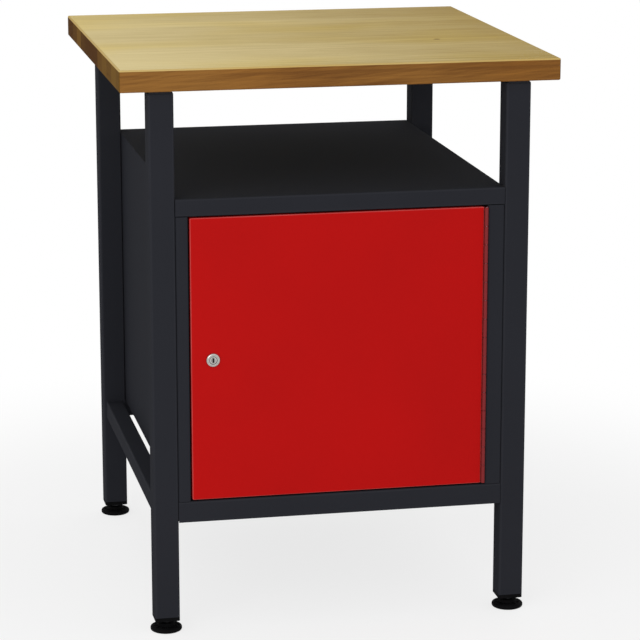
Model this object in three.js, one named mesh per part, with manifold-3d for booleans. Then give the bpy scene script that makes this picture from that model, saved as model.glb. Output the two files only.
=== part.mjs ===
// Square workbench: a beech worktop on four tube legs, an open bay, and a sheet-metal cabinet with one door.
// Millimetres, +Z up. The origin is on the floor under the middle of the bench, and the front faces -Y.
import * as THREE from 'three';
import { mergeVertices } from 'three/addons/utils/BufferGeometryUtils.js';
import Module from 'manifold-3d';

// Worktop: a glued beech board
const WORKTOP_WIDTH = 700;
const WORKTOP_DEPTH = 700;
const WORKTOP_THICKNESS = 35;
const WORKTOP_EASED_EDGE = 1.5;
const WORKTOP_SIDE_OVERHANG = 45;
const WORKTOP_FRONT_OVERHANG = 10;

// Frame: four legs joined low down by four rails, and by two flat bars under the worktop
const LEG_TUBE = 40;
const LEG_WALL = 2;
const LEG_CORNER = 3;
const LEG_BELOW_RAILS = 161;
const RAIL_TUBE = 30;
const RAIL_WALL = 2;
const RAIL_CORNER = 2.5;
const BAR_WIDTH = 34;
const BAR_THICKNESS = 4;

// Worktop screws
const SCREW_SHANK = 5;
const SCREW_HEAD = 10;
const SCREW_HEAD_HEIGHT = 3;
const SCREW_DEPTH_IN_WOOD = 24;
const SCREW_SPACING = 190;

// Levelling feet and the plugs that they screw into
const PAD_DIAMETER = 51;
const PAD_HEIGHT = 14;
const PAD_EDGE_HEIGHT = 5.5;
const PAD_EDGE_ROUNDING = 2;
const PAD_CROWN = 1;
const PAD_HUB_DIAMETER = 28;
const PAD_SOCKET_DEPTH = 6;
const COLLAR_HEIGHT = 5;
const COLLAR_ACROSS_FLATS = 17;
const STUD_DIAMETER = 10;
const STUD_ABOVE_COLLAR = 50;
const PLUG_FLANGE = 6;
const PLUG_DEPTH = 22;

// Cabinet: folded sheet between the legs
const SHEET = 1.5;
const CABINET_HEIGHT = 492;
const BAY_HEIGHT = 170;
const HEADER_HEIGHT = 28;
const HEADER_LIP = 12;
const SILL_HEIGHT = 34;
const STILE_LEFT = 20;
const STILE_RIGHT = 27;
const STOP_LIP = 12;
const BACK_FLANGE = 12;
const SHELF_RISE = 228;
const SHELF_FOLD = 20;
const SHELF_FRONT_SETBACK = 60;
const SHELF_BACK_GAP = 6;
const SHELF_SIDE_GAP = 1.5;
const BRACKET_WIDTH = 30;
const BRACKET_LEG = 18;
const BRACKET_THICKNESS = 2;
const BRACKET_INSET = 120;

// Bolts between the cabinet walls and the legs
const BOLT_DIAMETER = 6;
const BOLT_HEAD = 12;
const BOLT_HEAD_HEIGHT = 3.5;
const BOLT_PAST_WALL = 10;
const BOLT_INSET = 90;

// Door: a folded pan, flush with the frame
const DOOR_GAP = 2.5;
const DOOR_DEPTH = 18;
const DOOR_EDGE = 1;
const STIFFENER_SHEET = 1.2;
const STIFFENER_TOP = 40;
const STIFFENER_FOOT = 15;
const STIFFENER_DEPTH = 13;
const BUFFER_DIAMETER = 9;
const BUFFER_HEIGHT = 2.4;
const BUFFER_INSET = 60;

// Hinge: a barrel of knuckles along the right edge of the door
const BARREL_DIAMETER = 6;
const PIN_DIAMETER = 2.8;
const LEAF_THICKNESS = 1;
const LEAF_DEPTH = 17;
const HINGE_PROUD = 1;
const HINGE_INSET = 0.5;
const KNUCKLE_LENGTH = 30;
const KNUCKLE_GAP = 0.6;

// Cam lock
const LOCK_FROM_EDGE = 35;
const LOCK_HEAD = 22;
const LOCK_HEAD_HEIGHT = 3;
const LOCK_BARREL = 18;
const LOCK_PLUG = 12;
const LOCK_NUT_ACROSS_FLATS = 24;
const LOCK_NUT_HEIGHT = 4;
const KEYHOLE_WIDTH = 2;
const KEYHOLE_HEIGHT = 7;
const KEYHOLE_DEPTH = 7;
const CAM_THICKNESS = 2.5;
const CAM_WIDTH = 15;
const CAM_REACH = 36;
const CAM_BOSS = 7;
const CAM_SCREW_SHANK = 3.5;
const CAM_SCREW_HEAD = 9;
const CAM_SCREW_HEAD_HEIGHT = 2.2;
const CAM_SCREW_DEPTH = 6;

// Clearances: between resting pieces, around fasteners, and around what turns or slides
const SEAT = 0.3;
const HOLE_CLEARANCE = 0.3;
const RUNNING_CLEARANCE = 0.3;
const CAM_CLEARANCE = 1.5;

// Sides of the round pieces, and steps in a rounded corner
const CORNER_STEPS = 3;
const ROUND_SIDES = 24;
const SMALL_SIDES = 12;

// Levels, from the floor up
const plugBottom = PAD_HEIGHT + COLLAR_HEIGHT + 2 * SEAT;
const legBottom = plugBottom + PLUG_FLANGE + SEAT;
const railBottom = legBottom + LEG_BELOW_RAILS;
const railTop = railBottom + RAIL_TUBE;
const floorBottom = railTop + SEAT;
const floorTop = floorBottom + SHEET;
const cabinetTop = floorBottom + CABINET_HEIGHT;
const headerBottom = cabinetTop - HEADER_HEIGHT;
const worktopBottom = cabinetTop + BAY_HEIGHT;
const barTop = worktopBottom - SEAT;
const barBottom = barTop - BAR_THICKNESS;
const legTop = barBottom - SEAT;

// Planes of the frame and the cabinet
const flank = WORKTOP_WIDTH / 2 - WORKTOP_SIDE_OVERHANG;
const back = WORKTOP_DEPTH / 2 - WORKTOP_FRONT_OVERHANG;
const front = -back;
const legX = flank - LEG_TUBE / 2;
const legY = back - LEG_TUBE / 2;
const legInner = flank - LEG_TUBE;
const legInnerY = back - LEG_TUBE;
const wallOuter = legInner - SEAT;
const wallInner = wallOuter - SHEET;
const wallBottom = floorTop + SEAT;
const wallTop = cabinetTop - SHEET - SEAT;
const wallBack = back - SHEET - SEAT;

// The door opening, the door in it, and the hinge axis
const openingLeft = -legInner + STILE_LEFT;
const openingRight = legInner - STILE_RIGHT;
const doorLeft = openingLeft + DOOR_GAP;
const doorBottom = floorTop + DOOR_GAP;
const doorTop = headerBottom - DOOR_GAP;
const doorMiddle = (doorBottom + doorTop) / 2;
const doorInside = front + SHEET;
const doorBack = front + DOOR_DEPTH;
const hingeX = openingRight - SEAT - BARREL_DIAMETER / 2;
const hingeY = front - HINGE_PROUD;
const doorRight = hingeX - BARREL_DIAMETER / 2 - SEAT;
const stopFace = doorBack + BUFFER_HEIGHT + 2 * SEAT;
const lockX = doorLeft + LOCK_FROM_EDGE;

const wasm = await Module();
wasm.setup();

// A closed mesh with its corners shared, no empty triangles, and its faces pointing out
function closed(geometry) {
  const bare = new THREE.BufferGeometry();
  bare.setAttribute('position', geometry.getAttribute('position'));
  bare.setIndex(geometry.getIndex());
  const merged = mergeVertices(bare, 1e-4);
  const corners = merged.getIndex().array;
  const position = merged.getAttribute('position');
  const a = new THREE.Vector3();
  const b = new THREE.Vector3();
  const c = new THREE.Vector3();
  const kept = [];
  let volume = 0;
  for (let i = 0; i < corners.length; i += 3) {
    const [p, q, r] = corners.slice(i, i + 3);
    if (p === q || q === r || r === p) continue;
    kept.push([p, q, r]);
    a.fromBufferAttribute(position, p);
    b.fromBufferAttribute(position, q);
    c.fromBufferAttribute(position, r);
    volume += a.dot(b.cross(c));
  }
  const facing = volume < 0 ? kept.map(([p, q, r]) => [p, r, q]) : kept;
  merged.setIndex(facing.flat());
  return merged;
}

function toSolid(geometry) {
  const mesh = closed(geometry);
  const vertProperties = Float32Array.from(mesh.getAttribute('position').array);
  const triVerts = Uint32Array.from(mesh.getIndex().array);
  return new wasm.Manifold(new wasm.Mesh({ numProp: 3, vertProperties, triVerts }));
}

function toGeometry(solid) {
  const mesh = solid.getMesh();
  const geometry = new THREE.BufferGeometry();
  geometry.setAttribute('position', new THREE.BufferAttribute(Float32Array.from(mesh.vertProperties), 3));
  geometry.setIndex(Array.from(mesh.triVerts));
  return geometry;
}

function cut(geometry, ...tools) {
  const solid = tools.reduce((rest, tool) => rest.subtract(toSolid(tool)), toSolid(geometry));
  return toGeometry(solid);
}

function join(geometry, ...others) {
  const solid = others.reduce((whole, other) => whole.add(toSolid(other)), toSolid(geometry));
  return toGeometry(solid);
}

// A box between two limits on each axis
function block(xs, ys, zs) {
  const geometry = new THREE.BoxGeometry(xs[1] - xs[0], ys[1] - ys[0], zs[1] - zs[0]);
  return geometry.translate((xs[0] + xs[1]) / 2, (ys[0] + ys[1]) / 2, (zs[0] + zs[1]) / 2);
}

// Each axis with the two axes that a section across it is drawn on
const X = new THREE.Vector3(1, 0, 0);
const Y = new THREE.Vector3(0, 1, 0);
const Z = new THREE.Vector3(0, 0, 1);
const SECTIONS = {
  x: new THREE.Matrix4().makeBasis(Y, Z, X),
  y: new THREE.Matrix4().makeBasis(Z, X, Y),
  z: new THREE.Matrix4().makeBasis(X, Y, Z),
};

function extrude(shape, axis, from, to) {
  const options = { depth: to - from, bevelEnabled: false, curveSegments: CORNER_STEPS };
  const geometry = new THREE.ExtrudeGeometry(shape, options);
  return geometry.translate(0, 0, from).applyMatrix4(SECTIONS[axis]);
}

// A slab whose outline and faces meet in a small bevel
function easedSlab(shape, axis, from, to, ease) {
  const options = { depth: to - from - 2 * ease, bevelThickness: ease, bevelSize: ease };
  const bevel = { bevelOffset: -ease, bevelSegments: 2 };
  const geometry = new THREE.ExtrudeGeometry(shape, { ...options, ...bevel });
  return geometry.translate(0, 0, from + ease).applyMatrix4(SECTIONS[axis]);
}

function rectangle(width, height) {
  const corners = [[-1, -1], [1, -1], [1, 1], [-1, 1]];
  return new THREE.Shape(corners.map(([x, y]) => new THREE.Vector2(x * width / 2, y * height / 2)));
}

function roundedRectangle(path, width, height, radius) {
  const x = width / 2 - radius;
  const y = height / 2 - radius;
  path.absarc(x, y, radius, 0, Math.PI / 2);
  path.absarc(-x, y, radius, Math.PI / 2, Math.PI);
  path.absarc(-x, -y, radius, Math.PI, 1.5 * Math.PI);
  path.absarc(x, -y, radius, 1.5 * Math.PI, 2 * Math.PI);
  path.closePath();
  return path;
}

function squareTube(size, wall, corner) {
  const shape = roundedRectangle(new THREE.Shape(), size, size, corner);
  const innerCorner = Math.max(corner - wall, wall / 2);
  shape.holes.push(roundedRectangle(new THREE.Path(), size - 2 * wall, size - 2 * wall, innerCorner));
  return shape;
}

// The section of a folded sheet: its outer face as a line of points, with the thickness to the left of it
function folded(points, thickness) {
  const outer = points.map(([x, y]) => new THREE.Vector2(x, y));
  const sides = outer.slice(1).map((p, i) => p.clone().sub(outer[i]).normalize());
  const lefts = sides.map((d) => new THREE.Vector2(-d.y, d.x));
  const inner = outer.map((p, i) => {
    const before = lefts[Math.max(i - 1, 0)];
    const after = lefts[Math.min(i, lefts.length - 1)];
    const mitre = before.clone().add(after).normalize();
    return p.clone().addScaledVector(mitre, thickness / mitre.dot(after));
  });
  return new THREE.Shape([...outer, ...inner.reverse()]);
}

// A turned piece: radius and station pairs that start and end on the axis, or close on themselves
const TURNS = {
  x: new THREE.Matrix4().makeRotationZ(-Math.PI / 2),
  y: new THREE.Matrix4(),
  z: new THREE.Matrix4().makeRotationX(Math.PI / 2),
};

function turned(profile, axis, centre, sides = ROUND_SIDES) {
  const points = profile.map(([radius, station]) => new THREE.Vector2(radius, station));
  const geometry = new THREE.LatheGeometry(points, sides);
  return geometry.applyMatrix4(TURNS[axis]).translate(...centre);
}

function rod(diameter, axis, centre, from, to, sides = ROUND_SIDES) {
  const r = diameter / 2;
  return turned([[0, from], [r, from], [r, to], [0, to]], axis, centre, sides);
}

// A hexagonal prism measured across its flats
function hexagon(acrossFlats, axis, centre, from, to) {
  const corner = acrossFlats / Math.sqrt(3);
  return turned([[0, from], [corner, from], [corner, to], [0, to]], axis, centre, 6);
}

const bench = new THREE.Group();

function addPart(name, geometry, finish) {
  const mesh = new THREE.Mesh(closed(geometry), new THREE.MeshStandardMaterial(finish));
  mesh.geometry.computeVertexNormals();
  mesh.name = name;
  bench.add(mesh);
}

const BEECH = { color: 0xbcab7e, roughness: 0.55, metalness: 0 };
const ANTHRACITE = { color: 0x2a2b30, roughness: 0.5, metalness: 0 };
const RED = { color: 0xae1817, roughness: 0.4, metalness: 0 };
const BLACK_PLASTIC = { color: 0x101010, roughness: 0.6, metalness: 0 };
const BLACK_RUBBER = { color: 0x141414, roughness: 0.85, metalness: 0 };
const BLACK_STEEL = { color: 0x313132, roughness: 0.4, metalness: 1 };
const ZINC = { color: 0xa8abb0, roughness: 0.35, metalness: 1 };
const NICKEL = { color: 0xd2d2d0, roughness: 0.2, metalness: 1 };

const CORNERS = [
  { name: 'front_left', x: -1, y: -1 },
  { name: 'front_right', x: 1, y: -1 },
  { name: 'back_left', x: -1, y: 1 },
  { name: 'back_right', x: 1, y: 1 },
];
const SIDES = [
  { name: 'left', x: -1 },
  { name: 'right', x: 1 },
];

// Worktop, with a blind hole for each of its screws
const screwStations = [-SCREW_SPACING, 0, SCREW_SPACING];
const screwHoles = SIDES.flatMap((side) => screwStations.map((y) => rod(
  SCREW_SHANK + 2 * HOLE_CLEARANCE,
  'z',
  [side.x * legX, y, 0],
  worktopBottom - SEAT,
  worktopBottom + SCREW_DEPTH_IN_WOOD + SEAT,
  SMALL_SIDES,
)));
const worktopOutline = rectangle(WORKTOP_WIDTH, WORKTOP_DEPTH);
const worktopTop = worktopBottom + WORKTOP_THICKNESS;
const board = easedSlab(worktopOutline, 'z', worktopBottom, worktopTop, WORKTOP_EASED_EDGE);
addPart('worktop', cut(board, ...screwHoles), BEECH);

// Legs, drilled on their inner faces for the cabinet bolts
const boltLevels = [
  { name: 'lower', z: floorBottom + BOLT_INSET },
  { name: 'upper', z: cabinetTop - BOLT_INSET },
];
const boltHole = BOLT_DIAMETER + 2 * HOLE_CLEARANCE;

function boltDrill(side, y, z) {
  const inner = side * (wallInner - SEAT);
  const outer = side * (legInner + LEG_WALL + SEAT);
  return rod(boltHole, 'x', [0, y, z], Math.min(inner, outer), Math.max(inner, outer), SMALL_SIDES);
}

const legSection = squareTube(LEG_TUBE, LEG_WALL, LEG_CORNER);
for (const corner of CORNERS) {
  const x = corner.x * legX;
  const y = corner.y * legY;
  const tube = extrude(legSection, 'z', legBottom, legTop).translate(x, y, 0);
  const drills = boltLevels.map((level) => boltDrill(corner.x, y, level.z));
  addPart(`leg_${corner.name}`, cut(tube, ...drills), ANTHRACITE);
}

// Flat bars across the leg tops, and the screws that hold the worktop to them
for (const side of SIDES) {
  const x = side.x * legX;
  const bar = block([x - BAR_WIDTH / 2, x + BAR_WIDTH / 2], [front, back], [barBottom, barTop]);
  const hole = SCREW_SHANK + 2 * HOLE_CLEARANCE;
  const drillEnds = [barBottom - SEAT, barTop + SEAT];
  const drills = screwStations.map((y) => rod(hole, 'z', [x, y, 0], ...drillEnds, SMALL_SIDES));
  addPart(`top_bar_${side.name}`, cut(bar, ...drills), ANTHRACITE);
  screwStations.forEach((y, i) => {
    const headTop = barBottom - SEAT;
    const profile = [
      [0, headTop - SCREW_HEAD_HEIGHT],
      [SCREW_HEAD / 2, headTop - SCREW_HEAD_HEIGHT / 2],
      [SCREW_HEAD / 2, headTop],
      [SCREW_SHANK / 2, headTop],
      [SCREW_SHANK / 2, worktopBottom + SCREW_DEPTH_IN_WOOD - SCREW_SHANK],
      [0, worktopBottom + SCREW_DEPTH_IN_WOOD],
    ];
    addPart(`worktop_screw_${side.name}_${i + 1}`, turned(profile, 'z', [x, y, 0], SMALL_SIDES), ZINC);
  });
}

// Rails between the legs, all at one level
const railSection = squareTube(RAIL_TUBE, RAIL_WALL, RAIL_CORNER);
const railMiddle = (railBottom + railTop) / 2;
for (const side of SIDES) {
  const rail = extrude(railSection, 'y', -legInnerY + SEAT, legInnerY - SEAT);
  addPart(`rail_${side.name}`, rail.translate(side.x * legX, 0, railMiddle), ANTHRACITE);
}
for (const [name, y] of [['front', -legY], ['back', legY]]) {
  const rail = extrude(railSection, 'x', -legInner + SEAT, legInner - SEAT);
  addPart(`rail_${name}`, rail.translate(0, y, railMiddle), ANTHRACITE);
}

// Plugs in the leg ends, and the levelling feet that screw into them
const plugFlange = roundedRectangle(new THREE.Shape(), LEG_TUBE, LEG_TUBE, LEG_CORNER);
const plugSize = LEG_TUBE - 2 * LEG_WALL - 2 * SEAT;
const plugBody = roundedRectangle(new THREE.Shape(), plugSize, plugSize, LEG_WALL);
const plugFlangeTop = plugBottom + PLUG_FLANGE;
const plugTop = plugFlangeTop + PLUG_DEPTH;
const collarBottom = PAD_HEIGHT + SEAT;
const collarTop = collarBottom + COLLAR_HEIGHT;
const studBottom = PAD_HEIGHT - PAD_SOCKET_DEPTH + SEAT;
const studTop = collarTop + STUD_ABOVE_COLLAR;
for (const corner of CORNERS) {
  const centre = [corner.x * legX, corner.y * legY, 0];
  const plug = join(
    extrude(plugFlange, 'z', plugBottom, plugFlangeTop).translate(...centre),
    extrude(plugBody, 'z', plugFlangeTop - SEAT, plugTop).translate(...centre),
  );
  const thread = rod(STUD_DIAMETER + 2 * RUNNING_CLEARANCE, 'z', centre, plugBottom - SEAT, plugTop + SEAT);
  addPart(`leg_plug_${corner.name}`, cut(plug, thread), BLACK_PLASTIC);

  const padRadius = PAD_DIAMETER / 2;
  const hubRadius = PAD_HUB_DIAMETER / 2;
  const socketRadius = STUD_DIAMETER / 2 + HOLE_CLEARANCE;
  const padProfile = [
    [0, 0],
    [padRadius - PAD_EDGE_ROUNDING, 0],
    [padRadius, PAD_EDGE_ROUNDING],
    [padRadius, PAD_EDGE_HEIGHT],
    [padRadius - PAD_EDGE_ROUNDING, PAD_EDGE_HEIGHT + PAD_EDGE_ROUNDING],
    [hubRadius, PAD_EDGE_HEIGHT + PAD_EDGE_ROUNDING + PAD_CROWN],
    [hubRadius, PAD_HEIGHT],
    [socketRadius, PAD_HEIGHT],
    [socketRadius, PAD_HEIGHT - PAD_SOCKET_DEPTH],
    [0, PAD_HEIGHT - PAD_SOCKET_DEPTH],
  ];
  addPart(`foot_pad_${corner.name}`, turned(padProfile, 'z', centre), BLACK_PLASTIC);

  const stud = join(
    rod(STUD_DIAMETER, 'z', centre, studBottom, studTop),
    hexagon(COLLAR_ACROSS_FLATS, 'z', centre, collarBottom, collarTop),
  );
  addPart(`foot_stud_${corner.name}`, stud, BLACK_STEEL);
}

// Cabinet floor: a sheet on the front and rear rails, folded down at the front as the sill
const floorSection = folded([
  [back, floorTop],
  [front, floorTop],
  [front, floorTop - SILL_HEIGHT],
], SHEET);
addPart('cabinet_floor', extrude(floorSection, 'x', -wallOuter, wallOuter), ANTHRACITE);

// Cabinet walls: each stands on the floor, with a flange folded at the back and a stile folded at the front.
// The left stile folds on into the lip that stops the door. Above the stile the wall clears the header.
const leftWall = folded([
  [-wallOuter + BACK_FLANGE, wallBack],
  [-wallOuter, wallBack],
  [-wallOuter, front],
  [openingLeft, front],
  [openingLeft, stopFace],
  [openingLeft + STOP_LIP, stopFace],
], SHEET);
const rightWall = folded([
  [openingRight, stopFace + SHEET],
  [openingRight, front],
  [wallOuter, front],
  [wallOuter, wallBack],
  [wallOuter - BACK_FLANGE, wallBack],
], SHEET);
const stileTop = headerBottom - SEAT;
const aboveStile = [stileTop, wallTop + SEAT];
const headerRoom = block([-legInner, legInner], [front - SEAT, front + HEADER_LIP + SEAT], aboveStile);
const stileRoom = block([-wallInner + SEAT, wallInner - SEAT], [front - SEAT, -legInnerY], aboveStile);
for (const [side, section] of [[SIDES[0], leftWall], [SIDES[1], rightWall]]) {
  const wall = extrude(section, 'z', wallBottom, wallTop);
  const drills = boltLevels.flatMap((level) => [-legY, legY].map((y) => boltDrill(side.x, y, level.z)));
  addPart(`cabinet_side_${side.name}`, cut(wall, headerRoom, stileRoom, ...drills), ANTHRACITE);
}

// Cabinet back: a flat sheet behind the walls
const backSheet = block([-wallOuter, wallOuter], [back - SHEET, back], [wallBottom, wallTop]);
addPart('cabinet_back', backSheet, ANTHRACITE);

// Cabinet top: the floor of the open bay, folded down at the front as the header
const topSection = folded([
  [back, cabinetTop],
  [front, cabinetTop],
  [front, headerBottom],
  [front + HEADER_LIP, headerBottom],
], SHEET);
addPart('cabinet_top', extrude(topSection, 'x', -wallOuter, wallOuter), ANTHRACITE);

// Bolts from inside the cabinet into the legs
for (const corner of CORNERS) {
  for (const level of boltLevels) {
    const profile = [
      [0, wallInner - SEAT - BOLT_HEAD_HEIGHT],
      [BOLT_HEAD / 2, wallInner - SEAT - BOLT_HEAD_HEIGHT / 2],
      [BOLT_HEAD / 2, wallInner - SEAT],
      [BOLT_DIAMETER / 2, wallInner - SEAT],
      [BOLT_DIAMETER / 2, legInner + LEG_WALL + BOLT_PAST_WALL],
      [0, legInner + LEG_WALL + BOLT_PAST_WALL],
    ].map(([radius, station]) => [radius, corner.x * station]);
    const bolt = turned(profile, 'x', [0, corner.y * legY, level.z], SMALL_SIDES);
    addPart(`cabinet_bolt_${corner.name}_${level.name}`, bolt, ZINC);
  }
}

// Inner shelf: a sheet folded down at the front and the back, on four angle brackets
const shelfTop = floorTop + SHELF_RISE;
const shelfFront = front + SHELF_FRONT_SETBACK;
const shelfBack = wallBack - SHEET - SHELF_BACK_GAP;
const shelfEdge = wallInner - SHELF_SIDE_GAP;
const shelfSection = folded([
  [shelfBack, shelfTop - SHELF_FOLD],
  [shelfBack, shelfTop],
  [shelfFront, shelfTop],
  [shelfFront, shelfTop - SHELF_FOLD],
], SHEET);
addPart('inner_shelf', extrude(shelfSection, 'x', -shelfEdge, shelfEdge), ANTHRACITE);

const bracketFace = wallInner - SEAT;
const bracketTop = shelfTop - SHEET - SEAT;
for (const corner of CORNERS) {
  const y = corner.y < 0 ? shelfFront + BRACKET_INSET : shelfBack - BRACKET_INSET;
  const section = folded([
    [bracketFace, bracketTop - BRACKET_LEG],
    [bracketFace, bracketTop],
    [bracketFace - BRACKET_LEG, bracketTop],
  ], BRACKET_THICKNESS);
  const bracket = extrude(section, 'z', -BRACKET_WIDTH / 2, BRACKET_WIDTH / 2).rotateX(Math.PI / 2);
  const turnedSide = corner.x < 0 ? bracket.rotateZ(Math.PI) : bracket;
  addPart(`shelf_bracket_${corner.name}`, turnedSide.translate(0, y, 0), ZINC);
}

// Door: a pan of folded sheet with a hole for the lock
const doorWidth = doorRight - doorLeft;
const doorHeight = doorTop - doorBottom;
const doorOutline = rectangle(doorHeight, doorWidth);
const doorBlank = easedSlab(doorOutline, 'y', front, doorBack + 2 * DOOR_EDGE, DOOR_EDGE);
doorBlank.translate((doorLeft + doorRight) / 2, 0, doorMiddle);
const hollow = block(
  [doorLeft + SHEET, doorRight - SHEET],
  [doorInside, doorBack + 3 * DOOR_EDGE],
  [doorBottom + SHEET, doorTop - SHEET],
);
const trim = block(
  [doorLeft - DOOR_EDGE, doorRight + DOOR_EDGE],
  [doorBack, doorBack + 3 * DOOR_EDGE],
  [doorBottom - DOOR_EDGE, doorTop + DOOR_EDGE],
);
const lockCentre = [lockX, 0, doorMiddle];
const lockHole = rod(LOCK_BARREL + 2 * HOLE_CLEARANCE, 'y', lockCentre, front - SEAT, doorInside + SEAT);
addPart('door_panel', cut(doorBlank, hollow, trim, lockHole), RED);

// Door stiffener: a hat channel up the middle of the door
const stiffenerMiddle = (doorLeft + doorRight) / 2;
const stiffenerFace = doorInside + SEAT;
const stiffenerHalf = STIFFENER_TOP / 2;
const stiffenerSection = folded([
  [stiffenerMiddle - stiffenerHalf - STIFFENER_FOOT, stiffenerFace],
  [stiffenerMiddle - stiffenerHalf, stiffenerFace],
  [stiffenerMiddle - stiffenerHalf, stiffenerFace + STIFFENER_DEPTH],
  [stiffenerMiddle + stiffenerHalf, stiffenerFace + STIFFENER_DEPTH],
  [stiffenerMiddle + stiffenerHalf, stiffenerFace],
  [stiffenerMiddle + stiffenerHalf + STIFFENER_FOOT, stiffenerFace],
], STIFFENER_SHEET);
const stiffener = extrude(stiffenerSection, 'z', doorBottom + SHEET + SEAT, doorTop - SHEET - SEAT);
addPart('door_stiffener', stiffener, RED);

// Hinge: two leaves whose knuckles take turns along one pin
const hingeBottom = doorBottom + HINGE_INSET;
const hingeTop = doorTop - HINGE_INSET;
const hingeLength = hingeTop - hingeBottom;
const knuckleCount = 2 * Math.floor(hingeLength / (2 * KNUCKLE_LENGTH)) + 1;
const knucklePitch = hingeLength / knuckleCount;
const barrelRadius = BARREL_DIAMETER / 2;
const barrelBore = PIN_DIAMETER + 2 * RUNNING_CLEARANCE;
const leafStart = hingeY + barrelRadius;

function hingeLeaf(side, firstKnuckle) {
  const faces = [side * barrelRadius, side * (barrelRadius - LEAF_THICKNESS)];
  const xs = [hingeX + Math.min(...faces), hingeX + Math.max(...faces)];
  const pieces = [block(xs, [leafStart, hingeY + LEAF_DEPTH], [hingeBottom, hingeTop])];
  const bores = [];
  for (let i = firstKnuckle; i < knuckleCount; i += 2) {
    const zs = [
      hingeBottom + i * knucklePitch + KNUCKLE_GAP / 2,
      hingeBottom + (i + 1) * knucklePitch - KNUCKLE_GAP / 2,
    ];
    pieces.push(rod(BARREL_DIAMETER, 'z', [hingeX, hingeY, 0], zs[0], zs[1], SMALL_SIDES));
    pieces.push(block(xs, [hingeY, leafStart + SEAT], zs));
    const boreEnds = [zs[0] - KNUCKLE_GAP, zs[1] + KNUCKLE_GAP];
    bores.push(rod(barrelBore, 'z', [hingeX, hingeY, 0], ...boreEnds, SMALL_SIDES));
  }
  return cut(join(...pieces), ...bores);
}

addPart('hinge_leaf_door', hingeLeaf(-1, 1), RED);
addPart('hinge_leaf_frame', hingeLeaf(1, 0), RED);
addPart('hinge_pin', rod(PIN_DIAMETER, 'z', [hingeX, hingeY, 0], hingeBottom, hingeTop, SMALL_SIDES), ZINC);

// Rubber buffers on the stop lip, behind the free edge of the door
const bufferX = openingLeft + STOP_LIP - BUFFER_DIAMETER / 2;
for (const [name, z] of [['lower', doorBottom + BUFFER_INSET], ['upper', doorTop - BUFFER_INSET]]) {
  const bufferBack = stopFace - SEAT;
  const bufferFront = bufferBack - BUFFER_HEIGHT;
  const buffer = turned([
    [0, bufferFront],
    [BUFFER_DIAMETER / 3, bufferFront],
    [BUFFER_DIAMETER / 2, bufferBack - BUFFER_HEIGHT / 2],
    [BUFFER_DIAMETER / 2, bufferBack],
    [0, bufferBack],
  ], 'y', [bufferX, 0, z], SMALL_SIDES);
  addPart(`door_buffer_${name}`, buffer, BLACK_RUBBER);
}

// Cam lock: a threaded body through the door, a plug that turns in it, and a cam that swings behind the lip
const camFront = stopFace + SHEET + CAM_CLEARANCE;
const camBack = camFront + CAM_THICKNESS;
const lockBack = camFront - 2 * SEAT;
const headBack = front - SEAT;
const headFront = headBack - LOCK_HEAD_HEIGHT;
const plugBore = LOCK_PLUG + 2 * RUNNING_CLEARANCE;
const bodyProfile = [
  [plugBore / 2, headFront],
  [LOCK_HEAD / 2 - LOCK_HEAD_HEIGHT / 2, headFront],
  [LOCK_HEAD / 2, headFront + LOCK_HEAD_HEIGHT / 2],
  [LOCK_HEAD / 2, headBack],
  [LOCK_BARREL / 2, headBack],
  [LOCK_BARREL / 2, lockBack],
  [plugBore / 2, lockBack],
  [plugBore / 2, headFront],
];
addPart('lock_body', turned(bodyProfile, 'y', lockCentre), NICKEL);

const nutFront = doorInside + SEAT;
const nutBack = nutFront + LOCK_NUT_HEIGHT;
const nutBore = rod(LOCK_BARREL + 2 * HOLE_CLEARANCE, 'y', lockCentre, nutFront - SEAT, nutBack + SEAT);
addPart('lock_nut', cut(hexagon(LOCK_NUT_ACROSS_FLATS, 'y', lockCentre, nutFront, nutBack), nutBore), ZINC);

const plugBack = camFront - SEAT;
const halfBoss = CAM_BOSS / 2;
const boss = block(
  [lockX - halfBoss, lockX + halfBoss],
  [plugBack - SEAT, camBack],
  [doorMiddle - halfBoss, doorMiddle + halfBoss],
);
const keyhole = block(
  [lockX - KEYHOLE_WIDTH / 2, lockX + KEYHOLE_WIDTH / 2],
  [headFront - SEAT, headFront + KEYHOLE_DEPTH],
  [doorMiddle - KEYHOLE_HEIGHT / 2, doorMiddle + KEYHOLE_HEIGHT / 2],
);
const camScrewHole = rod(
  CAM_SCREW_SHANK + 2 * HOLE_CLEARANCE,
  'y',
  lockCentre,
  camBack - CAM_SCREW_DEPTH - 2 * SEAT,
  camBack + SEAT,
  SMALL_SIDES,
);
const plugCore = join(rod(LOCK_PLUG, 'y', lockCentre, headFront, plugBack), boss);
addPart('lock_plug', cut(plugCore, keyhole, camScrewHole), NICKEL);

const camOutline = new THREE.Shape();
camOutline.absarc(0, 0, CAM_WIDTH / 2, 0, Math.PI);
camOutline.lineTo(-CAM_WIDTH / 2, -CAM_REACH + CAM_WIDTH / 4);
camOutline.lineTo(-CAM_WIDTH / 4, -CAM_REACH);
camOutline.lineTo(CAM_WIDTH / 4, -CAM_REACH);
camOutline.lineTo(CAM_WIDTH / 2, -CAM_REACH + CAM_WIDTH / 4);
camOutline.closePath();
const camPlate = extrude(camOutline, 'z', -camBack, -camFront).rotateX(Math.PI / 2);
camPlate.translate(lockX, 0, doorMiddle);
const halfSlot = halfBoss + HOLE_CLEARANCE;
const bossSlot = block(
  [lockX - halfSlot, lockX + halfSlot],
  [camFront - SEAT, camBack + SEAT],
  [doorMiddle - halfSlot, doorMiddle + halfSlot],
);
addPart('lock_cam', cut(camPlate, bossSlot), ZINC);

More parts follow.
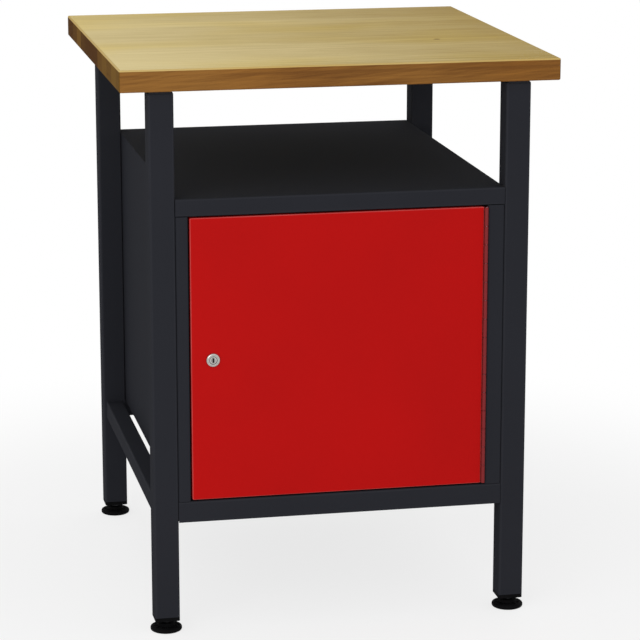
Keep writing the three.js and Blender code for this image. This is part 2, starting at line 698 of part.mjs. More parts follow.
const camScrewSeat = camBack + SEAT;
const camScrewProfile = [
  [0, camScrewSeat - CAM_SCREW_DEPTH],
  [CAM_SCREW_SHANK / 2, camScrewSeat - CAM_SCREW_DEPTH],
  [CAM_SCREW_SHANK / 2, camScrewSeat],
  [CAM_SCREW_HEAD / 2, camScrewSeat],
  [CAM_SCREW_HEAD / 2, camScrewSeat + CAM_SCREW_HEAD_HEIGHT / 2],
  [0, camScrewSeat + CAM_SCREW_HEAD_HEIGHT],
];
addPart('cam_screw', turned(camScrewProfile, 'y', lockCentre, SMALL_SIDES), ZINC);

export default bench;
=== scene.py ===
import math

import bmesh
import bpy
from mathutils import Matrix, Vector


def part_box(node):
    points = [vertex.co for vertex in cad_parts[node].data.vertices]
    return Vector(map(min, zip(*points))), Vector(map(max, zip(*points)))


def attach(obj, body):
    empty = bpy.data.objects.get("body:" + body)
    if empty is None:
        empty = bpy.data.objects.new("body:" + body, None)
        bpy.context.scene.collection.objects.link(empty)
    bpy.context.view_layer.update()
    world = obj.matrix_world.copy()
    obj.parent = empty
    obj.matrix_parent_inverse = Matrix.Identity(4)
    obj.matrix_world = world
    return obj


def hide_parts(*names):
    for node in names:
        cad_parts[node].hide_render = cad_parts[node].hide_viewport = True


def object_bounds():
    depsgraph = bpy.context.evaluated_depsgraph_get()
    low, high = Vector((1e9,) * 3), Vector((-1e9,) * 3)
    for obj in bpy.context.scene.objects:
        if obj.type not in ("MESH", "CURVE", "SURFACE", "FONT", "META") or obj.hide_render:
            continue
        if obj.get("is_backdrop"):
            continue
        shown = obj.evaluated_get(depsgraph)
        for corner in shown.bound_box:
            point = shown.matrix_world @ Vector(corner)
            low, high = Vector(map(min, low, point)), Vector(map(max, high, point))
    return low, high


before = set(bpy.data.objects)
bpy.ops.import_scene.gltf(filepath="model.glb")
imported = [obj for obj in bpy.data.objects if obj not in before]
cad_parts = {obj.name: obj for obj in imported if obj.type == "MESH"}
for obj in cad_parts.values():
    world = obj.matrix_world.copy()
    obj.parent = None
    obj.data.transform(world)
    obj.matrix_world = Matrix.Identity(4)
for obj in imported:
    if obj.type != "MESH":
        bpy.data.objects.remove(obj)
cad_low, cad_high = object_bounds()


# Legs: four square steel tubes with rounded corners, sawn to length.
# They are welded to the rails and the top bars, and the whole frame is powder coated in satin anthracite.
mm = 0.001
CORNERS = ("front_left", "front_right", "back_left", "back_right")
LEG_WALL = 2.0 * mm
LEG_CORNER = 3.2 * mm
EASING = 0.3 * mm
FINE_EASING = 0.25 * mm
SHARP = math.radians(40)
ANTHRACITE = (40, 41, 46)
# Edges and bends are a little paler than the flats: partly the thinner coat, partly painted highlight.
ANTHRACITE_EDGE_HIGHLIGHT = (44, 45, 50)


def shade(red, green, blue):
    """A colour as it shows on a screen, 0 to 255, in Blender's linear numbers."""
    def linear(value):
        value /= 255
        return value / 12.92 if value <= 0.04045 else ((value + 0.055) / 1.055) ** 2.4
    return (linear(red), linear(green), linear(blue), 1)


def toned(colour, factor, lift=0.0):
    """A linear colour made darker or lighter by a factor, and lifted by a little grey."""
    return (*(factor * part + lift for part in colour[:3]), 1)


class Signal:
    """An output in a node tree. Sums and products of signals add Math nodes to that tree."""

    def __init__(self, tree, socket=None):
        self.tree = tree
        self.socket = socket

    def add(self, kind, settings=None, sockets=None, output=0):
        """A new node: its settings first, then its sockets by name or number. Returns one of its outputs.

        A list of signals leads them all into the same socket.
        """
        node = self.tree.nodes.new(kind)
        for name, value in (settings or {}).items():
            setattr(node, name, value)
        for name, values in (sockets or {}).items():
            for value in values if isinstance(values, list) else [values]:
                if isinstance(value, Signal):
                    self.tree.links.new(value.socket, node.inputs[name])
                else:
                    node.inputs[name].default_value = value
        return Signal(self.tree, node.outputs[output])

    def maths(self, operation, *values):
        return self.add("ShaderNodeMath", {"operation": operation}, dict(enumerate(values)))

    def vector(self, operation, *values):
        output = "Value" if operation == "LENGTH" else "Vector"
        return self.add("ShaderNodeVectorMath", {"operation": operation}, dict(enumerate(values)), output)

    def __add__(self, other):
        return self.maths("ADD", self, other)

    __radd__ = __add__

    def __sub__(self, other):
        return self.maths("SUBTRACT", self, other)

    def __rsub__(self, other):
        return self.maths("SUBTRACT", other, self)

    def __mul__(self, other):
        return self.maths("MULTIPLY", self, other)

    __rmul__ = __mul__

    def __truediv__(self, other):
        return self.maths("DIVIDE", self, other)

    def __rtruediv__(self, other):
        return self.maths("DIVIDE", other, self)

    def between(self, low, high):
        """0 below low, 1 above high, and smooth between them."""
        return self.add("ShaderNodeMapRange", {"interpolation_type": "SMOOTHSTEP"},
                        {"Value": self, "From Min": low, "From Max": high})

    def noise(self, scale, detail=2.0, stretch=(1, 1, 1), roughness=0.5):
        """Noise with so many cells to the metre, drawn out along the axes that have a small stretch."""
        place = self.add("ShaderNodeMapping", {}, {"Vector": self, "Scale": stretch})
        return self.add("ShaderNodeTexNoise", {"noise_dimensions": "3D"},
                        {"Vector": place, "Scale": scale, "Detail": detail, "Roughness": roughness})

    def blend(self, low, high):
        """A colour between low and high, where this signal runs from 0 to 1."""
        return self.add("ShaderNodeMix", {"data_type": "RGBA"}, {0: self, 6: low, 7: high}, output=2)

    def bump(self, strength, distance):
        """A normal that follows this signal as a height."""
        return self.add("ShaderNodeBump", {}, {"Strength": strength, "Distance": distance, "Height": self})


def new_finish(name, **constants):
    """A material, with the constants set on its shader. Returns it, its shader and its Object coordinates."""
    material = bpy.data.materials.new(name)
    material.use_nodes = True
    surface = material.node_tree.nodes["Principled BSDF"]
    for socket, value in constants.items():
        surface.inputs[socket.replace("_", " ")].default_value = value
    place = Signal(material.node_tree).add("ShaderNodeTexCoord", output="Object")
    return material, surface, place


def feed(surface, **signals):
    """Leads signals into the shader's sockets."""
    for socket, signal in signals.items():
        signal.tree.links.new(signal.socket, surface.inputs[socket.replace("_", " ")])


def powder_coat(name, colour, edge, gloss, roughness):
    """Powder coat: a faint drift in tone, orange peel, and a paler shade on bends and edges, partly thinner
    film and partly painted highlight.
    """
    material, surface, place = new_finish(name, Specular_IOR_Level=gloss)
    base = shade(*colour)
    drift = place.noise(5, 3)
    grain = place.noise(420, 2)
    peel = place.noise(1100, 1)
    bend = place.add("ShaderNodeAttribute", {"attribute_name": "fold"}, output="Fac")
    # Painted highlight: bends and edges take the edge colour as if they caught the light, as well as showing
    # the thinner film there.
    thin_coat_and_highlight = bend * (0.6 + 0.4 * place.noise(9, 2).between(0.3, 0.7))
    tone = (0.7 * drift + 0.3 * grain).between(0.3, 0.7)
    coat = tone.blend(toned(base, 0.96), toned(base, 1.04))
    feed(surface,
         Base_Color=thin_coat_and_highlight.blend(coat, shade(*edge)),
         Roughness=roughness + 0.1 * drift - 0.15 * thin_coat_and_highlight,
         Normal=peel.bump(0.12, 0.15 * mm))
    return material


def bent(corners, inner, wall, closed=False, steps=5):
    """An outline with its corners bent round, with the sheet to its left: (point, left normal, in a bend)."""
    corners = [Vector(corner) for corner in corners]
    count = len(corners)
    outline = []
    for i, corner in enumerate(corners):
        before = (corner - corners[i - 1]).normalized()
        after = (corners[(i + 1) % count] - corner).normalized()
        if not closed and i in (0, count - 1):
            along = after if i == 0 else before
            outline.append((corner, Vector((-along.y, along.x)), False))
            continue
        turn = math.atan2(before.x * after.y - before.y * after.x, before.dot(after))
        way = math.copysign(1, turn)
        radius = inner + wall if turn > 0 else inner
        normal = Vector((-before.y, before.x))
        centre = corner - before * radius * math.tan(abs(turn) / 2) + normal * radius * way
        for k in range(steps + 1):
            leaning = Matrix.Rotation(turn * k / steps, 2) @ normal
            outline.append((centre - leaning * radius * way, leaning, k < steps))
    return outline


def placed(axis, across, up, station):
    """A place at a station along an axis, and across and up in the plane square to it."""
    return {"x": (station, across, up), "y": (across, station, up), "z": (across, up, station)}[axis]


def ribbon(outline, wall, axis, start, stop, closed=False):
    """The outline, thickened to its left and drawn out along an axis. Bends get material index 1."""
    shape = bmesh.new()
    rows = []
    for point, normal, _ in outline:
        inside = point + normal * wall
        ends = ((point, start), (point, stop), (inside, stop), (inside, start))
        rows.append([shape.verts.new(placed(axis, *spot, station)) for spot, station in ends])
    for i in range(len(rows) if closed else len(rows) - 1):
        row, following = rows[i], rows[(i + 1) % len(rows)]
        for k in range(4):
            face = shape.faces.new((row[k], row[(k + 1) % 4], following[(k + 1) % 4], following[k]))
            face.material_index = int(outline[i][2])
    if not closed:
        shape.faces.new(rows[0])
        shape.faces.new(rows[-1])
    bmesh.ops.recalc_face_normals(shape, faces=shape.faces)
    return shape


def square_tube(low, high, axis, wall, corner):
    """A square tube with rounded corners that fills the box from low to high along an axis."""
    first, second, along = {"x": (1, 2, 0), "y": (0, 2, 1), "z": (0, 1, 2)}[axis]
    corners = ((low[first], low[second]), (high[first], low[second]),
               (high[first], high[second]), (low[first], high[second]))
    outline = bent(corners, corner - wall, wall, closed=True)
    return ribbon(outline, wall, axis, low[along], high[along], closed=True)


def put(name, data):
    """A new object in the scene that holds this mesh, lamp or camera."""
    holder = bpy.data.objects.new(name, data)
    bpy.context.scene.collection.objects.link(holder)
    return holder


def settle(piece):
    """Turns the modifiers' result into the piece's plain mesh."""
    graph = bpy.context.evaluated_depsgraph_get()
    solved = piece.evaluated_get(graph)
    piece.data = bpy.data.meshes.new_from_object(solved, preserve_all_data_layers=True, depsgraph=graph)
    piece.modifiers.clear()


def dressed(name, shape, finish, edge=EASING, steps=2, first=()):
    """A shape as an object: sharp edges eased, bends and edges marked in "fold", and flat faces shaded flat.

    The first modifiers, as (type, settings), come before the easing.
    """
    mesh = bpy.data.meshes.new(name)
    shape.to_mesh(mesh)
    shape.free()
    for face in mesh.polygons:
        face.use_smooth = True
    mesh.materials.append(finish)
    mesh.materials.append(finish)
    piece = put(name, mesh)
    for kind, settings in first:
        modifier = piece.modifiers.new(kind, kind)
        for setting, value in settings.items():
            setattr(modifier, setting, value)
    settle(piece)
    if edge:
        easing = piece.modifiers.new("easing", "BEVEL")
        easing.limit_method = "ANGLE"
        easing.angle_limit = SHARP
        easing.width = edge
        easing.segments = steps
        easing.material = 1
    else:
        piece.data.set_sharp_from_angle(angle=SHARP)
    piece.modifiers.new("shading", "WEIGHTED_NORMAL").keep_sharp = True
    settle(piece)
    marks = [float(face.material_index == 1) for face in piece.data.polygons]
    piece.data.attributes.new("fold", "FLOAT", "FACE").data.foreach_set("value", marks)
    piece.data.polygons.foreach_set("material_index", [0] * len(marks))
    piece.data.materials.pop(index=1)
    return piece


def fit(piece, body, slot, *nodes):
    """The piece moves with a body and stands for these CAD nodes, which are hidden. The slot is not used."""
    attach(piece, body)
    if nodes:
        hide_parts(*nodes)


def steel(node, form, shape, edge=EASING):
    """A steel piece of the frame in its powder coat, in the place of its CAD node."""
    fit(dressed(f"{node}_{form}", shape, anthracite, edge), "frame", "anthracite", node)


anthracite = powder_coat("anthracite_powder_coat", ANTHRACITE, ANTHRACITE_EDGE_HIGHLIGHT, gloss=0.025, roughness=0.85)
for corner in CORNERS:
    tube = square_tube(*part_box(f"leg_{corner}"), "z", LEG_WALL, LEG_CORNER)
    steel(f"leg_{corner}", "tube", tube, FINE_EASING)


# Rails: four smaller square tubes between the legs, all at one level, that carry the cabinet.
# Cut square, butted against the legs and welded all round, then coated with the frame.
RAIL_WALL = 2.0 * mm
RAIL_CORNER = 2.6 * mm
RAILS = {"left": "y", "right": "y", "front": "x", "back": "x"}

for side, axis in RAILS.items():
    tube = square_tube(*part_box(f"rail_{side}"), axis, RAIL_WALL, RAIL_CORNER)
    steel(f"rail_{side}", "tube", tube, FINE_EASING)


# Top bars: two flat steel bars across the leg tops, one on each side, drilled for the worktop's screws.
# They are welded to the legs and coated with the frame.
SIDES = ("left", "right")

for side in SIDES:
    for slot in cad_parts[f"top_bar_{side}"].material_slots:
        slot.material = anthracite


# Welds: the rippled beads that join the rails and the top bars to the legs.
# Each is a run of overlapping drops of weld metal round a joint, under the same coat of paint.
WELD_DROP = 1.7 * mm
WELD_PITCH = 1.9 * mm
WELD_SWAY = (0.86, 1.1)
WELD_SEED = 4
WELD_TRIM = 0.7 * RAIL_CORNER
BAR_WELD_OUT = 0.8 * mm
BAR_WELD_RISE = 0.6 * mm
BAR_WELD_SHORT = 2.0 * mm


def pattern(name, **sizes):
    """An empty Geometry Nodes tree that takes a piece and these named sizes. Returns it and its inputs."""
    tree = bpy.data.node_groups.new(name, "GeometryNodeTree")
    tree.interface.new_socket("Result", in_out="OUTPUT", socket_type="NodeSocketGeometry")
    tree.interface.new_socket("Piece", in_out="INPUT", socket_type="NodeSocketGeometry")
    for label, kind in {**sizes, "Finish": "Material"}.items():
        tree.interface.new_socket(label, in_out="INPUT", socket_type="NodeSocket" + kind)
    entry = tree.nodes.new("NodeGroupInput")
    return tree, {socket.name: Signal(tree, socket) for socket in entry.outputs if socket.name}


def close_pattern(tree, result, finish):
    """Ends the tree: instances made real and given their finish."""
    real = result.add("GeometryNodeRealizeInstances", {}, {"Geometry": result})
    painted = result.add("GeometryNodeSetMaterial", {}, {"Geometry": real, "Material": finish})
    tree.links.new(painted.socket, tree.nodes.new("NodeGroupOutput").inputs[0])


def grow(piece, tree, **sizes):
    """Runs a pattern on a piece, with its sizes set, and keeps the result as a plain mesh."""
    modifier = piece.modifiers.new(tree.name, "NODES")
    modifier.node_group = tree
    for item in tree.interface.items_tree:
        if item.in_out == "INPUT" and item.name in sizes:
            modifier[item.identifier] = sizes[item.name]
    settle(piece)
    return piece


weld_run, given = pattern("weld_run", Pitch="Float", Drop="Float", Smallest="Float", Largest="Float",
                          Seed="Int")
seam = given["Piece"].add("GeometryNodeMeshToCurve", {}, {"Mesh": given["Piece"]})
stops = seam.add("GeometryNodeResampleCurve", {"mode": "LENGTH"}, {"Curve": seam, "Length": given["Pitch"]})
drop = seam.add("GeometryNodeMeshUVSphere", {}, {"Segments": 8, "Rings": 5, "Radius": given["Drop"]})
smooth_drop = seam.add("GeometryNodeSetShadeSmooth", {}, {"Geometry": drop})
sway = seam.add("FunctionNodeRandomValue", {"data_type": "FLOAT"},
                {"Min": given["Smallest"], "Max": given["Largest"], "Seed": given["Seed"]}, output="Value")
beads = seam.add("GeometryNodeInstanceOnPoints", {},
                 {"Points": stops, "Instance": smooth_drop, "Scale": sway})
close_pattern(weld_run, beads, given["Finish"])


def path_piece(name, runs):
    """Bare edges along these runs of points, for a pattern to follow."""
    shape = bmesh.new()
    for run in runs:
        points = [shape.verts.new(point) for point in run]
        for pair in zip(points, points[1:]):
            shape.edges.new(pair)
    mesh = bpy.data.meshes.new(name)
    shape.to_mesh(mesh)
    shape.free()
    return put(name, mesh)


weld_lines = []
for side, axis in RAILS.items():
    low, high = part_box(f"rail_{side}")
    across, along = {"x": (1, 0), "y": (0, 1)}[axis]
    left, right = low[across], high[across]
    loop = [(left, low.z + WELD_TRIM), (left + WELD_TRIM, low.z), (right - WELD_TRIM, low.z),
            (right, low.z + WELD_TRIM), (right, high.z - WELD_TRIM), (right - WELD_TRIM, high.z),
            (left + WELD_TRIM, high.z), (left, high.z - WELD_TRIM)]
    for station in (low[along], high[along]):
        weld_lines.append([placed(axis, *point, station) for point in loop + loop[:1]])
for corner in CORNERS:
    low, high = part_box(f"leg_{corner}")
    bar_low, bar_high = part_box("top_bar_left" if "left" in corner else "top_bar_right")
    height = high.z + BAR_WELD_RISE
    for x in (bar_low.x - BAR_WELD_OUT, bar_high.x + BAR_WELD_OUT):
        weld_lines.append([(x, low.y + BAR_WELD_SHORT, height), (x, high.y - BAR_WELD_SHORT, height)])
welds = path_piece("frame_welds", weld_lines)
grow(welds, weld_run, Pitch=WELD_PITCH, Drop=WELD_DROP, Smallest=WELD_SWAY[0], Largest=WELD_SWAY[1],
     Seed=WELD_SEED, Finish=anthracite)
fit(welds, "frame", "anthracite")


# Worktop screws: six zinc-plated pan-head wood screws, driven up through the top bars into the board.
# Pressed and thread-rolled steel, with a hexagon socket in the head.
SCREW_COUNT = 3
SCREW = {"head": ((3.6, 0), (4.6, 0.5), (5.0, 1.5), (5.0, 3.0)), "socket": (2.0, 1.4),
         "shank": 2.5, "tip": 5.0}
HEXAGON = 6
ZINC = (172, 175, 180)


def skin(shape, loops):
    """Faces from each loop of corners to the next. A loop of one corner is a tip."""
    for loop, following in zip(loops, loops[1:]):
        for k in range(max(len(loop), len(following))):
            near = [loop[k % len(loop)], loop[(k + 1) % len(loop)]]
            far = [following[(k + 1) % len(following)], following[k % len(following)]]
            corners = list(dict.fromkeys(near + far))
            if len(corners) > 2:
                shape.faces.new(corners)
    bmesh.ops.remove_doubles(shape, verts=shape.verts, dist=1e-7)
    bmesh.ops.recalc_face_normals(shape, faces=shape.faces)


def turned(rings, axis, centre, sides):
    """A turned solid round an axis through a centre, from rings of (radius, station) along that axis.

    A ring of (half across flats, station, flats) has flats. The first looks along the first other axis.
    """
    shape = bmesh.new()
    middle = Vector(centre) * Vector(placed(axis, 1, 1, 0))
    loops = []
    for radius, station, *flats in rings:
        loop = []
        for k in range(sides if radius else 1):
            angle = 2 * math.pi * k / sides
            reach = radius
            if flats:
                sector = 2 * math.pi / flats[0]
                reach = radius / math.cos((angle + sector / 2) % sector - sector / 2)
            offset = placed(axis, reach * math.cos(angle), reach * math.sin(angle), station)
            loop.append(shape.verts.new(middle + Vector(offset)))
        loops.append(loop)
    skin(shape, loops)
    return shape


def screw_rings(face, end, head, socket, shank, tip=0):
    """Rings of a screw from its face to its end, with its sizes in millimetres and its widths halved.

    The head is an outline of (half width, depth), and the hexagon socket has one half width and depth.
    """
    way = math.copysign(mm, end - face)
    half, depth = socket
    rings = [(0, depth), (half, depth, HEXAGON), (half, 0, HEXAGON), *head, (shank, head[-1][1])]
    rings = [(radius * mm, face + way * station, *flats) for radius, station, *flats in rings]
    return rings + [(shank * mm, end - way * tip), (0, end)]


def plating(name, colour, roughness, scale):
    """Plated metal: a soft cloud in the tone and fine scratches in the polish."""
    material, surface, place = new_finish(name, Metallic=1)
    base = shade(*colour)
    cloud = place.noise(scale, 3).between(0.3, 0.7)
    scratch = place.noise(900, 2, (1, 1, 0.15))
    feed(surface,
         Base_Color=cloud.blend(toned(base, 0.88), base),
         Roughness=roughness + 0.12 * scratch + 0.05 * cloud,
         Normal=scratch.bump(0.08, 0.05 * mm))
    return material


row_of, given = pattern("row_of", Count="Int", Step="Vector")
line = given["Piece"].add("GeometryNodeMeshLine", {"mode": "OFFSET"},
                          {"Count": given["Count"], "Offset": given["Step"]})
row = line.add("GeometryNodeInstanceOnPoints", {}, {"Points": line, "Instance": given["Piece"]})
close_pattern(row_of, row, given["Finish"])

zinc = plating("zinc_plating", ZINC, roughness=0.3, scale=120)
for side in SIDES:
    low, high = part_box(f"worktop_screw_{side}_1")
    screw = turned(screw_rings(low.z, high.z, **SCREW), "z", (low + high) / 2, sides=24)
    screws = dressed(f"worktop_screws_{side}", screw, zinc, 0)
    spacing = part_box(f"worktop_screw_{side}_2")[0].y - low.y
    grow(screws, row_of, Count=SCREW_COUNT, Step=(0, spacing, 0), Finish=zinc)
    fit(screws, "frame", "zinc", *[f"worktop_screw_{side}_{i + 1}" for i in range(SCREW_COUNT)])


# Leg plugs: black plastic caps with a square flange, moulded round a threaded bush for the foot.
# They are knocked into the open lower ends of the legs, up to the flange.
CLEARANCE = 0.3 * mm
PLUG_FLANGE = 6.0 * mm
PLUG_CORNER = 3.2 * mm
PLUG_BORE = 10.6 * mm
PLUG_EASING = 0.7 * mm
PLUG_BLACK = (8, 8, 9)


def moulded(name, colour, roughness):
    """Moulded plastic or rubber: spark-eroded grain and a slight bloom."""
    material, surface, place = new_finish(name, Specular_IOR_Level=0.05)
    base = shade(*colour)
    grain = place.noise(1500, 2)
    bloom = place.noise(35, 3).between(0.4, 0.75)
    feed(surface,
         Base_Color=bloom.blend(base, toned(base, 1.5, lift=0.001)),
         Roughness=roughness + 0.1 * grain + 0.06 * bloom,
         Normal=grain.bump(0.25, 0.1 * mm))
    return material


def square_ring(low, high, corner, inset, height, steps=6):
    """Points round a square with rounded corners, drawn in by an inset, as many to a side as to a corner."""
    left, right, front, back = low.x + inset, high.x - inset, low.y + inset, high.y - inset
    arcs = bent(((left, front), (right, front), (right, back), (left, back)), corner, 0, True, steps)
    points = [point for point, _, _ in arcs]
    ring = []
    for i, point in enumerate(points):
        straight = (i + 1) % (steps + 1) == 0
        for k in range(steps if straight else 1):
            place = point.lerp(points[(i + 1) % len(points)], k / steps)
            ring.append((place.x, place.y, height))
    return ring


black_plastic = moulded("black_plastic", PLUG_BLACK, roughness=0.72)
for corner in CORNERS:
    low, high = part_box(f"leg_plug_{corner}")
    shoulder = low.z + PLUG_FLANGE
    inside = LEG_WALL + CLEARANCE
    partway, top_easing = 0.3 * PLUG_EASING, PLUG_EASING / 2
    levels = [(PLUG_CORNER - PLUG_EASING, PLUG_EASING, low.z),
              (PLUG_CORNER - partway, partway, low.z + partway),
              (PLUG_CORNER, 0, low.z + PLUG_EASING),
              (PLUG_CORNER, 0, shoulder - top_easing),
              (PLUG_CORNER - top_easing, top_easing, shoulder),
              (LEG_WALL, inside, shoulder),
              (LEG_WALL, inside, high.z - PLUG_EASING),
              (LEG_WALL - PLUG_EASING, inside + PLUG_EASING, high.z)]
    rings = [square_ring(low, high, *level) for level in levels]
    middle = ((low + high) / 2).xy
    for height in (high.z, low.z):
        ways = [(Vector(point[:2]) - middle).normalized() for point in rings[0]]
        rings.append([(*(middle + way * PLUG_BORE / 2), height) for way in ways])
    shape = bmesh.new()
    loops = [[shape.verts.new(point) for point in ring] for ring in rings]
    skin(shape, loops + loops[:1])
    plug = dressed(f"leg_plug_{corner}_cap", shape, black_plastic, 0)
    fit(plug, "frame", "black_plastic", f"leg_plug_{corner}")


# Foot pads: round black plastic discs, moulded with a domed top, a raised hub and radial ribs.
# Each snaps on to the ball end of its stud, so it lies flat on the floor.
PAD_RIM = ((3.4, 0), (2.2, 0.3), (0.7, 1.2), (0, 2.6), (0, 5.0), (0.7, 6.6), (2.2, 7.5), (5.0, 8.0))
PAD_HUB = 14.0 * mm
PAD_CROWN = 8.5 * mm
HUB_FOOT = ((1.2, 0), (0.3, 0.6), (0, 1.4))
HUB_TOP = ((0, 1.4), (0.4, 0.5), (1.3, 0))
BALL_SOCKET = 5.3 * mm
BALL_SOCKET_DEPTH = 6.0 * mm
RIB_COUNT = 12
RIB_LOW = Vector((13.0, -0.8, 6.4)) * mm
RIB_HIGH = Vector((20.5, 0.8, 9.3)) * mm
RIB_EASING = 0.4 * mm

ring_of, given = pattern("ring_of", Count="Int", Centre="Vector")
spots = given["Piece"].add("GeometryNodePoints", {}, {"Count": given["Count"], "Position": given["Centre"]})
order = spots.add("GeometryNodeInputIndex")
spin = order.add("ShaderNodeCombineXYZ", {}, {"Z": order * (2 * math.pi) / given["Count"]})
wheel = spots.add("GeometryNodeInstanceOnPoints", {},
                  {"Points": spots, "Instance": given["Piece"], "Rotation": spin})
close_pattern(ring_of, wheel, given["Finish"])


def block(low, high):
    """A box between two corners."""
    shape = bmesh.new()
    bmesh.ops.create_cube(shape, size=1)
    low, high = Vector(low), Vector(high)
    for vertex in shape.verts:
        vertex.co = [low[i] + (vertex.co[i] + 0.5) * (high[i] - low[i]) for i in range(3)]
    return shape


def join_pieces(first, *others):
    """Puts the meshes of other pieces into the first one."""
    shape = bmesh.new()
    for piece in (first, *others):
        shape.from_mesh(piece.data)
    shape.to_mesh(first.data)
    shape.free()
    for piece in others:
        bpy.data.objects.remove(piece)
    return first


for corner in CORNERS:
    low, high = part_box(f"foot_pad_{corner}")
    centre = Vector(((low.x + high.x) / 2, (low.y + high.y) / 2, 0))
    rim = (high.x - low.x) / 2
    socket_floor = high.z - BALL_SOCKET_DEPTH
    rings = [(0, 0)]
    rings += [(rim - inset * mm, rise * mm) for inset, rise in PAD_RIM]
    rings += [(PAD_HUB + out * mm, PAD_CROWN + rise * mm) for out, rise in HUB_FOOT]
    rings += [(PAD_HUB - inset * mm, high.z - fall * mm) for inset, fall in HUB_TOP]
    rings += [(BALL_SOCKET, high.z), (BALL_SOCKET, socket_floor), (0, socket_floor)]
    pad = dressed(f"foot_pad_{corner}_disc", turned(rings, "z", centre, sides=48), black_plastic, 0)
    ribs = dressed("foot_pad_ribs", block(RIB_LOW, RIB_HIGH), black_plastic, RIB_EASING)
    grow(ribs, ring_of, Count=RIB_COUNT, Centre=centre, Finish=black_plastic)
    fit(join_pieces(pad, ribs), f"foot_{corner}", "black_plastic", f"foot_pad_{corner}")


# Foot studs: black-oxide steel screws with a hexagon collar for the spanner and a rolled thread above it.
# The thread runs up through the plug into the leg, so turning the collar lifts or lowers the bench.
STUD_CORE = 4.45 * mm
STUD_TIP = 1.0 * mm
COLLAR_HALF = 8.5 * mm
COLLAR_EASING = 0.6 * mm
THREAD_PITCH = 1.5 * mm
THREAD_RIDGE = 0.5 * mm
THREAD_START = 0.6 * mm
THREAD_SHORT = 2.0 * mm
BLACK_STEEL = (62, 62, 64)

threaded, given = pattern("threaded", Turns="Float", Length="Float", Core="Float", Ridge="Float",
                          Start="Vector")
helix = given["Piece"].add("GeometryNodeCurveSpiral", {},
                           {"Resolution": 18, "Rotations": given["Turns"], "Start Radius": given["Core"],
                            "End Radius": given["Core"], "Height": given["Length"]})
tooth = helix.add("GeometryNodeCurvePrimitiveCircle", {"mode": "RADIUS"},
                  {"Resolution": 4, "Radius": given["Ridge"]})
ridge = helix.add("GeometryNodeCurveToMesh", {},
                  {"Curve": helix, "Profile Curve": tooth, "Fill Caps": True})
stood = helix.add("GeometryNodeTransform", {}, {"Geometry": ridge, "Translation": given["Start"]})
both = helix.add("GeometryNodeJoinGeometry", {}, {"Geometry": [given["Piece"], stood]})
close_pattern(threaded, both, given["Finish"])

black_steel = plating("black_oxide", BLACK_STEEL, roughness=0.34, scale=200)
for corner in CORNERS:
    low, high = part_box(f"foot_stud_{corner}")
    centre = (low + high) / 2
    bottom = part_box(f"foot_pad_{corner}")[1].z + CLEARANCE
    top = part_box(f"leg_plug_{corner}")[0].z - CLEARANCE
    rings = [(0, low.z), (STUD_CORE, low.z), (STUD_CORE, bottom),
             (COLLAR_HALF, bottom + COLLAR_EASING, HEXAGON), (COLLAR_HALF, top - COLLAR_EASING, HEXAGON),
             (COLLAR_HALF - COLLAR_EASING, top), (STUD_CORE, top),
             (STUD_CORE, high.z - STUD_TIP), (STUD_CORE - STUD_TIP, high.z), (0, high.z)]
    screw = turned(rings, "z", centre, sides=24)
    stud = dressed(f"foot_stud_{corner}_screw", screw, black_steel, FINE_EASING)
    length = high.z - top - THREAD_SHORT
    grow(stud, threaded, Turns=length / THREAD_PITCH, Length=length, Core=STUD_CORE, Ridge=THREAD_RIDGE,
         Start=(centre.x, centre.y, top + THREAD_START), Finish=black_steel)
    fit(stud, f"foot_{corner}", "black_steel", f"foot_stud_{corner}")


# Cabinet floor: sheet steel laid on the front and rear rails, folded down at the front as the sill.
# Laser cut, folded on a press brake and coated in the frame's anthracite.
SHEET = 1.5 * mm
BEND = 1.4 * mm


def folded(corners, low, high):
    """A sheet folded at these corners, seen from the side, and as wide as the box from low to high."""
    return ribbon(bent(corners, BEND, SHEET), SHEET, "x", low.x, high.x)


low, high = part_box("cabinet_floor")
corners = ((high.y, high.z), (low.y, high.z), (low.y, low.z))
steel("cabinet_floor", "sheet", folded(corners, low, high))


# Cabinet walls: one folded sheet on each side, with a flange round the back and a stile round the front.
# The left stile folds on into the lip that stops the door. Above the stiles the sheets are cut back for the
# header, and the walls stand on the floor and are bolted to the legs.
BACK_FLANGE = 12.0 * mm
STOP_LIP = 12.0 * mm
HEADER_LIP = 12.0 * mm
DOOR_GAP = 2.5 * mm
PAST = 1.0 * mm


def carved(name, shape, rooms, finish, edge=0, first=()):
    """A dressed shape with rooms cut out of it, each room a shape as well."""
    cutters = [dressed("room", room, finish, 0) for room in rooms]
    cut = {"operation": "DIFFERENCE", "solver": "EXACT"}
    cuts = [("BOOLEAN", {"object": cutter, **cut}) for cutter in cutters]
    piece = dressed(name, shape, finish, edge, first=[*first, *cuts])
    for cutter in cutters:
        bpy.data.objects.remove(cutter)
    return piece


door_low, door_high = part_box("door_panel")
opening_left = door_low.x - DOOR_GAP
opening_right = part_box("hinge_leaf_frame")[1].x + CLEARANCE
stile_top = door_high.z + DOOR_GAP - CLEARANCE
stop_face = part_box("door_buffer_lower")[1].y + CLEARANCE
low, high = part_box("cabinet_side_left")
left, right = low.x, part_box("cabinet_side_right")[1].x
left_corners = ((left + BACK_FLANGE, high.y), (left, high.y), (left, low.y), (opening_left, low.y),
                (opening_left, stop_face), (opening_left + STOP_LIP, stop_face))
right_corners = ((opening_right, stop_face + SHEET), (opening_right, low.y), (right, low.y),
                 (right, high.y), (right - BACK_FLANGE, high.y))
wall_inside = SHEET + CLEARANCE
spaces = ((left - PAST, right + PAST, low.y + HEADER_LIP + CLEARANCE),
          (left + wall_inside, right - wall_inside, stop_face + SHEET + PAST))
for side, corners in (("left", left_corners), ("right", right_corners)):
    sheet = ribbon(bent(corners, BEND, SHEET), SHEET, "z", low.z, high.z)
    rooms = [block((start, low.y - PAST, stile_top), (stop, depth, high.z + PAST))
             for start, stop, depth in spaces]
    wall = carved(f"cabinet_side_{side}_sheet", sheet, rooms, anthracite, EASING)
    fit(wall, "frame", "anthracite", f"cabinet_side_{side}")


